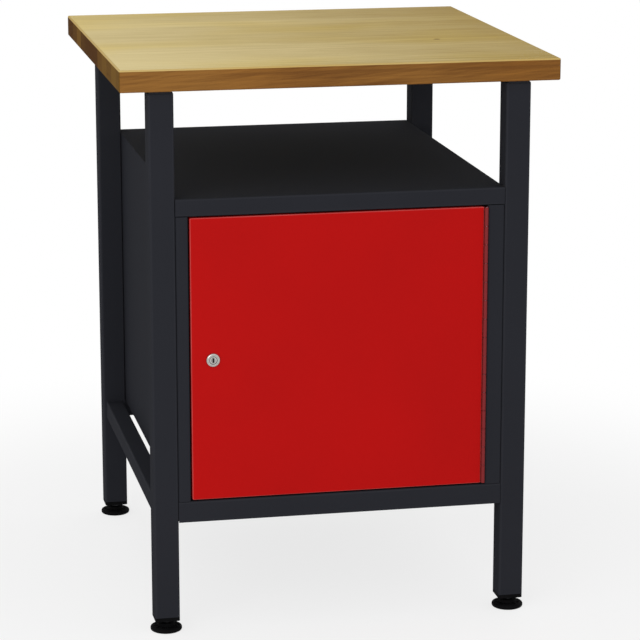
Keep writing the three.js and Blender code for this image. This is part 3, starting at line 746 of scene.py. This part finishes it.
# Cabinet back: a flat sheet behind the walls, spot welded to their flanges.
# The welds show through the coat as rows of shallow round marks.
SPOT = 3.0 * mm
SPOT_PROUD = 0.25 * mm
SPOT_PROFILE = ((0, -1), (0.6, -1), (0.8, 0.6), (1, 0.4), (1.2, -1), (1.2, -2), (0, -2))
SPOT_COUNT = 8
SPOT_INSET = 25.0 * mm
BACK_OVERLAP = 0.35 * mm


def spot_welds(name, columns, face, low, high, finish):
    """Shallow round weld marks on a face that looks back, up columns at these X from low to high."""
    rings = [(share * SPOT, face + rise * SPOT_PROUD) for share, rise in SPOT_PROFILE]
    step = (0, 0, (high - low - 2 * SPOT_INSET) / (SPOT_COUNT - 1))
    marks = []
    for x in columns:
        mark = dressed(name, turned(rings, "y", (x, face, low + SPOT_INSET), sides=16), finish, 0)
        marks.append(grow(mark, row_of, Count=SPOT_COUNT, Step=step, Finish=finish))
    return join_pieces(*marks)


low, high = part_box("cabinet_back")
overlap = Vector((0, 0, BACK_OVERLAP))
steel("cabinet_back", "sheet", block(low - overlap, high + overlap))
columns = (low.x + BACK_FLANGE / 2, high.x - BACK_FLANGE / 2)
fit(spot_welds("cabinet_spot_welds", columns, high.y, low.z, high.z, anthracite), "frame", "anthracite")


# Cabinet top: the open bay's floor, one sheet folded down at the front as the header and in again as a lip.
# It lies on the walls and is welded to them.
low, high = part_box("cabinet_top")
corners = ((high.y, high.z), (low.y, high.z), (low.y, low.z), (low.y + HEADER_LIP, low.z))
steel("cabinet_top", "sheet", folded(corners, low, high))


# Cabinet bolts: eight zinc-plated button heads inside the cabinet, four on each wall.
# They go through the wall into threaded rivets in the legs.
BOLT = {"head": ((3.84, 0), (5.04, 0.6), (5.76, 1.5), (6.0, 2.6), (6.0, 3.5)), "socket": (2.0, 1.8),
        "shank": 3.0}
BOLT_ENDS = ("front", "back")
BOLT_LEVELS = ("lower", "upper")

for side in SIDES:
    columns = []
    for end in BOLT_ENDS:
        low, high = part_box(f"cabinet_bolt_{end}_{side}_lower")
        face, tip = (high.x, low.x) if side == "left" else (low.x, high.x)
        shape = turned(screw_rings(face, tip, **BOLT), "x", (low + high) / 2, sides=24)
        bolt = dressed(f"cabinet_bolts_{side}", shape, zinc, 0)
        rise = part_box(f"cabinet_bolt_{end}_{side}_upper")[0].z - low.z
        columns.append(grow(bolt, row_of, Count=len(BOLT_LEVELS), Step=(0, 0, rise), Finish=zinc))
    names = [f"cabinet_bolt_{end}_{side}_{level}" for end in BOLT_ENDS for level in BOLT_LEVELS]
    fit(join_pieces(*columns), "frame", "zinc", *names)


# Inner shelf: a loose sheet, folded down at the front and the back to stiffen it.
# It is coated like the cabinet and rests on four brackets.
low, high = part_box("inner_shelf")
corners = ((high.y, low.z), (high.y, high.z), (low.y, high.z), (low.y, low.z))
steel("inner_shelf", "sheet", folded(corners, low, high))


# Shelf brackets: four short zinc-plated angles, punched and bent.
# Each is riveted to a cabinet wall through its upright leg.
BRACKET = 2.0 * mm
BRACKET_BEND = 1.5 * mm
RIVET_HEAD = 6.0 * mm
RIVET_RISE = 0.9 * mm
RIVET_PROFILE = ((0, 0.4), (0.13, 0.4), (0.15, 1), (0.3, 0.85), (0.43, 0.55),
                 (0.5, 0.15), (0.5, -0.3), (0, -0.3))
BRACKET_RIVETS = 2
RIVET_INSET = 7.0 * mm


def rivets(name, face, away, y, z, count, step):
    """A row of blind rivet heads on a face across X. They stand out to the side that away's sign gives."""
    rings = [(share * RIVET_HEAD, face + away * rise * RIVET_RISE) for share, rise in RIVET_PROFILE]
    head = dressed(name, turned(rings, "x", (face, y, z), sides=20), zinc, 0)
    return grow(head, row_of, Count=count, Step=step, Finish=zinc)


pairs = []
for corner in CORNERS:
    low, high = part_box(f"shelf_bracket_{corner}")
    angle = ((high.x, high.z), (low.x, high.z), (low.x, low.z))
    face, away = low.x + BRACKET, 1
    if "right" in corner:
        angle = ((high.x, low.z), (high.x, high.z), (low.x, high.z))
        face, away = high.x - BRACKET, -1
    outline = bent(angle, BRACKET_BEND, BRACKET)
    bracket = dressed(f"shelf_bracket_{corner}_angle", ribbon(outline, BRACKET, "y", low.y, high.y), zinc)
    fit(bracket, "frame", "zinc", f"shelf_bracket_{corner}")
    step = (0, high.y - low.y - 2 * RIVET_INSET, 0)
    pairs.append(rivets("shelf_bracket_rivets", face, away, low.y + RIVET_INSET, low.z + RIVET_INSET,
                        BRACKET_RIVETS, step))
fit(join_pieces(*pairs), "frame", "zinc")


# Door: one red pan of folded sheet, flush with the frame, with softly bent edges and a hole for the lock.
# Folded on four sides, corners welded and ground, then powder coated in satin red.
RED = (176, 12, 11)
# Painted highlight: the door's bent edges are a pale pink, standing in for the light they catch.
RED_EDGE_HIGHLIGHT = (192, 74, 72)
DOOR_BEND = 2.2 * mm
DOOR_BEND_STEPS = 4
LOCK_HOLE = 18.6 * mm
DRILL_REACH = 30.0 * mm
FLAT = 0.02

red = powder_coat("red_powder_coat", RED, RED_EDGE_HIGHLIGHT, gloss=0.07, roughness=0.65)
lock_low, lock_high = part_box("lock_body")
lock_centre = (lock_low + lock_high) / 2
pan = block(door_low, door_high)
pan.normal_update()
back_face = max(pan.faces, key=lambda face: face.normal.y)
bmesh.ops.delete(pan, geom=[back_face], context="FACES_ONLY")
rims = [edge for edge in pan.edges if not edge.is_boundary]
bmesh.ops.bevel(pan, geom=rims, offset=DOOR_BEND, segments=DOOR_BEND_STEPS, profile=0.5, affect="EDGES")
drill_start, drill_stop = lock_centre.y - DRILL_REACH, lock_centre.y + DRILL_REACH
rings = [(0, drill_start), (LOCK_HOLE / 2, drill_start), (LOCK_HOLE / 2, drill_stop), (0, drill_stop)]
hole = turned(rings, "y", lock_centre, sides=40)
thicken = ("SOLIDIFY", {"thickness": SHEET, "offset": -1, "use_even_offset": True})
door = carved("door_pan", pan, [hole], red, first=[thicken])
# Every face of the pan that looks neither front nor back takes the pale edge colour: painted highlight on the
# bent edges.
for face, fold in zip(door.data.polygons, door.data.attributes["fold"].data):
    fold.value = float(FLAT < abs(face.normal.y) < 1 - FLAT)
fit(door, "door", "red", "door_panel")


# Door stiffener: a hat channel up the middle of the door's inside, folded from thinner sheet.
# It is spot welded to the pan through its two feet and coated with it.
STIFFENER = 1.2 * mm
STIFFENER_BEND = 1.2 * mm
STIFFENER_FOOT = 15.0 * mm
STIFFENER_SPOT = 6.3 * mm
THIN_EASING = 0.2 * mm

low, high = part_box("door_stiffener")
left, right = low.x + STIFFENER_FOOT, high.x - STIFFENER_FOOT
crown = high.y - STIFFENER
corners = ((low.x, low.y), (left, low.y), (left, crown), (right, crown), (right, low.y), (high.x, low.y))
channel = ribbon(bent(corners, STIFFENER_BEND, STIFFENER), STIFFENER, "z", low.z, high.z)
fit(dressed("door_stiffener_channel", channel, red, THIN_EASING), "door", "red", "door_stiffener")
columns = (low.x + STIFFENER_SPOT, high.x - STIFFENER_SPOT)
fit(spot_welds("stiffener_spot_welds", columns, low.y + STIFFENER, low.z, high.z, red), "door", "red")


# Hinge leaves: the two steel strips of a piano hinge the height of the door, rolled into knuckles in turn.
# One is riveted to the door's edge and the other to the right stile, and both are painted red with the door.
BARREL = 3.0 * mm
BORE = 1.7 * mm
KNUCKLE_COUNT = 15
KNUCKLE_GAP = 0.6 * mm
NECK_OVERLAP = 0.2 * mm
LEAF = 1.0 * mm
LEAF_RIVETS = 6
LEAF_RIVET_INSET = 36.0 * mm
HINGE_REFLECTED_RED = (124, 39, 41)
HINGE_EDGE_HIGHLIGHT = (118, 54, 55)


def merged(shape, other):
    """Adds another shape to a shape."""
    mesh = bpy.data.meshes.new("merging")
    other.to_mesh(mesh)
    other.free()
    shape.from_mesh(mesh)
    bpy.data.meshes.remove(mesh)
    return shape


# The hinge's red is duller and greyer than the door's: painted reflection of the grey that the round barrel
# reflects, with a paler painted highlight on its edges.
hinge_reflected_red = powder_coat("red_hinge_coat_painted_reflection", HINGE_REFLECTED_RED, HINGE_EDGE_HIGHLIGHT, gloss=0.12, roughness=0.5)
pin_low, pin_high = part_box("hinge_pin")
pin_x, pin_y = (pin_low.x + pin_high.x) / 2, (pin_low.y + pin_high.y) / 2
pitch = (pin_high.z - pin_low.z) / KNUCKLE_COUNT
leaf_front = pin_y + BARREL
for node, body, skipped, way in (("hinge_leaf_door", "door", 1, -1), ("hinge_leaf_frame", "frame", 0, 1)):
    low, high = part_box(node)
    start = pin_low.z + skipped * pitch + KNUCKLE_GAP / 2
    stop = start + pitch - KNUCKLE_GAP
    rings = [(BORE, start), (BARREL - EASING, start), (BARREL, start + EASING),
             (BARREL, stop - EASING), (BARREL - EASING, stop), (BORE, stop), (BORE, start)]
    barrel = turned(rings, "z", (pin_x, pin_y, 0), sides=24)
    inner_face = pin_x + way * (BARREL - LEAF)
    leaf_left, leaf_right = sorted((pin_x + way * BARREL, inner_face))
    neck = block((leaf_left, pin_y, start), (leaf_right, leaf_front + NECK_OVERLAP, stop))
    knuckles = dressed(f"{node}_knuckles", merged(barrel, neck), hinge_reflected_red, 0)
    grow(knuckles, row_of, Count=KNUCKLE_COUNT // 2 + 1 - skipped, Step=(0, 0, 2 * pitch), Finish=hinge_reflected_red)
    strip = block((leaf_left, leaf_front, low.z), (leaf_right, high.y, high.z))
    leaf = join_pieces(dressed(f"{node}_strip", strip, hinge_reflected_red, THIN_EASING), knuckles)
    fit(leaf, body, "red", node)
    step = (0, 0, (high.z - low.z - 2 * LEAF_RIVET_INSET) / (LEAF_RIVETS - 1))
    heads = rivets(f"hinge_rivets_{body}", inner_face, -way, (leaf_front + high.y) / 2,
                   low.z + LEAF_RIVET_INSET, LEAF_RIVETS, step)
    fit(heads, body, "zinc")


# Hinge pin: one zinc-plated steel rod through all the knuckles, with chamfered ends.
# It is pressed into the frame's knuckles, and the door's knuckles turn on it.
PIN_HALF = 1.4 * mm
PIN_EASING = 0.4 * mm

rings = [(0, pin_low.z), (PIN_HALF - PIN_EASING, pin_low.z), (PIN_HALF, pin_low.z + PIN_EASING),
         (PIN_HALF, pin_high.z - PIN_EASING), (PIN_HALF - PIN_EASING, pin_high.z), (0, pin_high.z)]
pin = turned(rings, "z", (pin_x, pin_y, 0), sides=16)
fit(dressed("hinge_pin_rod", pin, zinc, 0), "frame", "zinc", "hinge_pin")


# Door buffers: two soft rubber domes that take the knock when the door shuts.
# Moulded, and stuck to the stop lip behind the door's free edge.
RUBBER = (17, 17, 17)
BUFFER_DOME = ((0, 0), (0.35, 0.05), (0.65, 0.4), (0.9, 1.1), (1, 1.9))

rubber = moulded("black_rubber", RUBBER, roughness=0.75)
for level in ("lower", "upper"):
    low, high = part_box(f"door_buffer_{level}")
    half = (high.x - low.x) / 2
    rings = [(share * half, low.y + depth * mm) for share, depth in BUFFER_DOME]
    rings += [(half, high.y), (0, high.y)]
    dome = turned(rings, "y", (low + high) / 2, sides=28)
    buffer = dressed(f"door_buffer_{level}_dome", dome, rubber, 0)
    fit(buffer, "frame", "black_rubber", f"door_buffer_{level}")


# Lock body: the barrel of a cam lock through the door, with a round face that has one groove.
# Die-cast zinc, turned and nickel plated.
NICKEL = (190, 189, 184)
LOCK_HEAD = 11.0 * mm
LOCK_FACE = ((0.74, 0), (0.76, 0.35), (0.80, 0.35), (0.82, 0.1), (0.90, 0.4), (0.97, 1.1), (1, 2.0))
LOCK_BARREL = 9.0 * mm
LOCK_MOUTH = (0.35 * mm, 0.5 * mm)
PLUG_HALF = 6.0 * mm


def turned_plating(name, colour, centre):
    """Bright plating over fine concentric tool marks round the lock's axis."""
    material, surface, place = new_finish(name, Metallic=1)
    base = shade(*colour)
    offset = place.vector("SUBTRACT", place, (centre.x, 0, centre.z))
    reach = place.vector("LENGTH", place.vector("MULTIPLY", offset, (1, 0, 1)))
    lines = reach.add("ShaderNodeTexNoise", {"noise_dimensions": "1D"},
                      {"W": reach, "Scale": 3500, "Detail": 1})
    cloud = place.noise(160, 2).between(0.3, 0.7)
    feed(surface,
         Base_Color=cloud.blend(toned(base, 0.92), base),
         Roughness=0.14 + 0.14 * lines,
         Normal=lines.bump(0.15, 0.05 * mm))
    return material


nickel = turned_plating("nickel_plating", NICKEL, lock_centre)
face, rear = lock_low.y, lock_high.y
seat = door_low.y - CLEARANCE
bore = PLUG_HALF + CLEARANCE
mouth_width, mouth_depth = LOCK_MOUTH
rings = [(bore, face + mouth_depth), (bore + mouth_width, face)]
rings += [(share * LOCK_HEAD, face + depth * mm) for share, depth in LOCK_FACE]
rings += [(LOCK_HEAD, seat), (LOCK_BARREL, seat), (LOCK_BARREL, rear), (bore, rear), rings[0]]
lock_body = dressed("lock_body_turned", turned(rings, "y", lock_centre, sides=48), nickel, 0)
fit(lock_body, "door", "nickel", "lock_body")


# Lock nut: a flat hexagon nut, pressed from steel and zinc plated.
# It clamps the lock body from inside the door.
NUT_HALF = 12.0 * mm
NUT_ROUND = 11.2 * mm
NUT_EASING = 0.5 * mm

low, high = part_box("lock_nut")
bore = LOCK_BARREL + CLEARANCE
rings = [(bore, low.y), (NUT_ROUND, low.y), (NUT_HALF, low.y + NUT_EASING, HEXAGON),
         (NUT_HALF, high.y - NUT_EASING, HEXAGON), (NUT_ROUND, high.y), (bore, high.y), (bore, low.y)]
nut = dressed("lock_nut_hexagon", turned(rings, "y", lock_centre, sides=36), zinc, 0)
fit(nut, "door", "zinc", "lock_nut")


# Lock plug: the turning core of the lock, with a keyhole in its face and a square boss behind for the cam.
# Turned and nickel plated like the body. A black plastic block fills the keyhole from just below the face:
# painted shade for the dark inside of the keyhole.
PLUG_FACE_EASING = 0.5 * mm
BOSS_HALF = 3.5 * mm
SQUARE = 4
KEY_WIDTH = 2.3 * mm
KEY_HEIGHT = 7.2 * mm
KEY_DEPTH = 7.0 * mm
KEYHOLE_SHADE_DEPTH = 0.5 * mm

low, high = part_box("lock_plug")
cam_low, cam_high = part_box("lock_cam")
plug_back = cam_low.y - CLEARANCE
rings = [(0, low.y), (PLUG_HALF - PLUG_FACE_EASING, low.y), (PLUG_HALF, low.y + PLUG_FACE_EASING),
         (PLUG_HALF, plug_back), (BOSS_HALF, plug_back, SQUARE), (BOSS_HALF, high.y, SQUARE), (0, high.y)]
slot_low = Vector((lock_centre.x - KEY_WIDTH / 2, low.y - PAST, lock_centre.z - KEY_HEIGHT / 2))
slot_high = Vector((lock_centre.x + KEY_WIDTH / 2, low.y + KEY_DEPTH, lock_centre.z + KEY_HEIGHT / 2))
keyhole = block(slot_low, slot_high)
core = carved("lock_plug_turned", turned(rings, "y", lock_centre, sides=40), [keyhole], nickel)
# Painted shade: a black block set in the keyhole, where there would only be shade.
keyhole_shade = block((slot_low.x, low.y + KEYHOLE_SHADE_DEPTH, slot_low.z), slot_high)
fit(dressed("lock_keyhole_shade", keyhole_shade, black_plastic, 0), "lock", "black_plastic")
fit(core, "lock", "nickel", "lock_plug")


# Lock cam: a flat steel tongue with a round end and a square hole, punched and zinc plated.
# It sits on the plug's boss and swings behind the left stile's lip when the key turns.
CAM_ARC_STEPS = 12

half = (cam_high.x - cam_low.x) / 2
tongue = cam_low.z - lock_centre.z
angles = [math.pi * k / CAM_ARC_STEPS for k in range(CAM_ARC_STEPS + 1)]
outline = [(half * math.cos(angle), half * math.sin(angle)) for angle in angles]
outline += [(-half, tongue + half / 2), (-half / 2, tongue), (half / 2, tongue), (half, tongue + half / 2)]
gap = BOSS_HALF + CLEARANCE
square_hole = ((gap, gap), (-gap, gap), (-gap, -gap), (gap, -gap))
shape = bmesh.new()
layers = []
for y in (cam_low.y, cam_high.y):
    outer, inner = ([shape.verts.new((lock_centre.x + x, y, lock_centre.z + z)) for x, z in points]
                    for points in (outline, square_hole))
    layers.append((outer, inner))
    edges = [shape.edges.new(pair) for loop in (outer, inner) for pair in zip(loop, loop[1:] + loop[:1])]
    bmesh.ops.triangle_fill(shape, use_beauty=True, edges=edges)
for near, far in zip(*layers):
    skin(shape, (near, far))
cam = dressed("lock_cam_plate", shape, zinc, THIN_EASING)
fit(cam, "lock", "zinc", "lock_cam")


# Cam screw: a short zinc-plated pan-head screw with a hexagon socket.
# It holds the cam on the end of the plug's boss.
CAM_SCREW = {"head": ((2.6, 0), (3.8, 0.3), (4.5, 1.2), (4.5, 2.2)), "socket": (1.5, 1.2), "shank": 1.75}

low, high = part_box("cam_screw")
shape = turned(screw_rings(high.y, low.y, **CAM_SCREW), "y", lock_centre, sides=24)
fit(dressed("cam_screw_turned", shape, zinc, 0), "lock", "zinc", "cam_screw")


# Worktop: a solid beech board glued up from long staves, planed, with its edges eased and oiled.
# The oil leaves the top pale and soaks into the edges and the end grain, which turn brown.
STAVE = 58.0 * mm
STAVE_START = 0.37
HEART_DEPTH = 30.0 * mm
HEART_SPREAD = 90.0 * mm
RING_SCALE = 190
STREAKS = (9, 150, 150)
FIBRES = (18, 700, 700)
FLECKS = (170, 1000, 1000)
BOARD_EASING = 2.5 * mm
BOARD_EASING_STEPS = 3
UNDERCUT = 0.2
TOP_TONES = ((226, 208, 153), (222, 197, 117), (155, 128, 67))
EDGE_TONES = ((142, 97, 42), (140, 90, 32), (96, 58, 20))
END_TONES = ((114, 84, 36), (112, 78, 30), (78, 48, 18))
EASED_HIGHLIGHT_TONES = ((211, 185, 122), (206, 177, 105), (168, 138, 78))
KNOT = (0.213, -0.091, 0.0)
KNOT_SCALE = (130, 190, 0)
KNOT_BROWN = (98, 70, 34)


def beech(name, tones, figure, staves, roughness, gloss=0.03, slant=0.0, drift=0.0):
    """Beech with the grain along X: yearly rings round each stave's heart, long streaks and ray flecks.

    Of its three tones, pale turns to honey in slow patches and the figure is deep. The small knot is brown.
    """
    material, surface, place = new_finish(name, Specular_IOR_Level=gloss)
    pale, honey, deep = (shade(*tone) for tone in tones)
    along, across, up = (place.add("ShaderNodeSeparateXYZ", {}, {0: place}, output=axis) for axis in "XYZ")
    lane = across / STAVE + STAVE_START
    stave = lane.maths("FLOOR", lane)
    chance, second = (place.add("ShaderNodeTexWhiteNoise", {"noise_dimensions": "1D"}, {"W": stave + start},
                                output="Value") for start in (0.5, 31.7))
    warp = place.noise(7, 3, (0.35, 1, 1)) - 0.5
    side = (lane - stave - chance) * STAVE + warp * 0.03
    depth = up - cad_high.z + HEART_DEPTH + HEART_SPREAD * second + warp * 0.012
    reach = side.maths("SQRT", side * side + depth * depth)
    rings = place.add("ShaderNodeTexNoise", {"noise_dimensions": "1D"},
                      {"W": reach + chance * 7, "Scale": RING_SCALE, "Detail": 3, "Roughness": 0.6})
    leaning = place.add("ShaderNodeMapping", {}, {"Vector": place, "Rotation": (0, slant, 0)})
    wave = place.add("ShaderNodeCombineXYZ", {}, {"Y": warp * 0.008, "Z": warp * 0.008})
    wavy = place.vector("ADD", leaning, wave)
    streaks = wavy.noise(1, 4, STREAKS, 0.6)
    fibre = wavy.noise(1, 3, FIBRES)
    fleck = wavy.noise(1, 1, FLECKS).between(0.66, 0.76)
    knot_way = place.vector("MULTIPLY", place.vector("SUBTRACT", place, KNOT), KNOT_SCALE)
    knot = 1 - place.vector("LENGTH", knot_way).between(0.4, 1)
    cloud = place.noise(5, 2, (0.6, 1, 1)) - 0.5
    grain = figure * (0.35 * rings + 0.4 * streaks + 0.25 * fibre - 0.5 + 0.35 * cloud)
    # The drift deepens the tone along X: painted shade, darker towards the board's right end.
    tone = 0.45 + grain + staves * (chance - 0.5) + drift * along + 0.16 * fleck
    light = place.noise(3.2, 2, (0.5, 1, 1)).between(0.42, 0.64).blend(pale, honey)
    feed(surface,
         Base_Color=knot.blend(tone.between(0, 1).blend(light, deep), shade(*KNOT_BROWN)),
         Roughness=roughness + 0.16 * streaks,
         Normal=(fibre + 0.5 * rings).bump(0.12, 0.12 * mm))
    return material


# The top's drift paints it darker towards its right end: painted shade across the top.
top_wood = beech("beech_face", TOP_TONES, figure=0.75, staves=0.1, roughness=0.6, drift=0.66)
edge_wood = beech("beech_long_edge", EDGE_TONES, figure=2.2, staves=0.0, roughness=0.5, gloss=0.12, slant=0.1)
end_wood = beech("beech_end_grain", END_TONES, figure=1.0, staves=0.9, roughness=0.8)
# The eased top edges take paler tones than the brown long edges: a painted highlight along the rounded top
# edges.
eased_edge_highlight_wood = beech("beech_eased_edge_highlight", EASED_HIGHLIGHT_TONES, figure=0.6, staves=0.0, roughness=0.6)
board = dressed("worktop_board", block(*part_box("worktop")), top_wood, BOARD_EASING, BOARD_EASING_STEPS)
for wood in (edge_wood, end_wood, eased_edge_highlight_wood):
    board.data.materials.append(wood)
for face in board.data.polygons:
    if FLAT - 1 < face.normal.z < UNDERCUT:
        face.material_index = 1 if abs(face.normal.y) > abs(face.normal.x) else 2
    # Faces that slope up between the edges and the top get the eased tones: the painted highlight line.
    elif 0 < face.normal.z < 1 - FLAT:
        face.material_index = 3
fit(board, "frame", "beech", "worktop")


# Studio: a plain white floor that keeps the bench's soft shadow and fades into a white backdrop.
# Two large soft boxes and an even sky light it at a plain level.
FLOOR_HALF = 14.0
FLOOR_WHITE = 0.78
FLOOR_GLOW = 0.76
FADE_START, FADE_END = 0.6, 1.4
SKY = 0.8
WHITE = (1, 1, 1, 1)


def seen(tree):
    """1 for what the camera sees, also in metal or through glass, and 0 for the light on the bench."""
    start = Signal(tree)
    kinds = ("Is Camera Ray", "Is Glossy Ray", "Is Transmission Ray")
    camera, glossy, through = (start.add("ShaderNodeLightPath", output=kind) for kind in kinds)
    return start.maths("MAXIMUM", start.maths("MAXIMUM", camera, glossy), through)


floor_mesh = bpy.data.meshes.new("studio_floor")
floor_mesh.from_pydata([(-FLOOR_HALF, -FLOOR_HALF, 0), (FLOOR_HALF, -FLOOR_HALF, 0),
                        (FLOOR_HALF, FLOOR_HALF, 0), (-FLOOR_HALF, FLOOR_HALF, 0)], [], [(0, 1, 2, 3)])
studio_floor = put("studio_floor", floor_mesh)
white, surface, place = new_finish("floor_white", Specular_IOR_Level=0.0, Roughness=1.0,
                                   Base_Color=(FLOOR_WHITE, FLOOR_WHITE, FLOOR_WHITE, 1))
reach = place.vector("LENGTH", place)
fade = FLOOR_GLOW + (1 - FLOOR_GLOW) * reach.between(FADE_START, FADE_END)
glow = place.add("ShaderNodeEmission", {}, {"Color": WHITE, "Strength": 1.0})
matt = Signal(white.node_tree, surface.outputs[0])
mixed = place.add("ShaderNodeMixShader", {}, {0: seen(white.node_tree) * fade, 1: matt, 2: glow})
white.node_tree.links.new(mixed.socket, white.node_tree.nodes["Material Output"].inputs["Surface"])
floor_mesh.materials.append(white)
studio_floor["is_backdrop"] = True

world = bpy.data.worlds.new("white_sky")
bpy.context.scene.world = world
world.use_nodes = True
sky = world.node_tree.nodes["Background"]
sky.inputs["Color"].default_value = WHITE
feed(sky, Strength=SKY + (1 - SKY) * seen(world.node_tree))


def soft_box(name, place, aim, size, watts):
    """A square area light at a place, turned to its aim."""
    lamp = bpy.data.lights.new(name, "AREA")
    lamp.shape = "SQUARE"
    lamp.size = size
    lamp.energy = watts
    holder = put(name, lamp)
    holder.location = place
    holder.rotation_euler = (Vector(aim) - Vector(place)).to_track_quat("-Z", "Y").to_euler()


soft_box("key_box", place=(-2.4, -3.2, 2.2), aim=(0, 0, 0.55), size=2.2, watts=32)
soft_box("fill_box", place=(-1.2, -4.3, 1.4), aim=(0, 0, 0.45), size=2.0, watts=28)
bpy.context.scene.view_settings.view_transform = "Standard"


# Camera: at the photograph's viewing angle, left of the bench's front and above the worktop.
# It stands far off with a long lens, so that the bench's upright lines stay nearly parallel.
CAMERA_AIM = Vector((0.0329, -0.0067, 0.4252))
CAMERA_AZIMUTH = math.radians(-11.59)
CAMERA_ELEVATION = math.radians(13.46)
CAMERA_DISTANCE = 4.613
CAMERA_LENS = 151.4
CAMERA_SENSOR = 36

camera_data = bpy.data.cameras.new("camera")
camera_data.sensor_width = CAMERA_SENSOR
camera_data.lens = CAMERA_LENS
camera = put("camera", camera_data)
eye = Vector((math.sin(CAMERA_AZIMUTH) * math.cos(CAMERA_ELEVATION),
              -math.cos(CAMERA_AZIMUTH) * math.cos(CAMERA_ELEVATION), math.sin(CAMERA_ELEVATION)))
camera.location = CAMERA_AIM + eye * CAMERA_DISTANCE
camera.rotation_mode = "QUATERNION"
camera.rotation_quaternion = (-eye).to_track_quat("-Z", "Y")
bpy.context.scene.camera = camera

low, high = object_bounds()
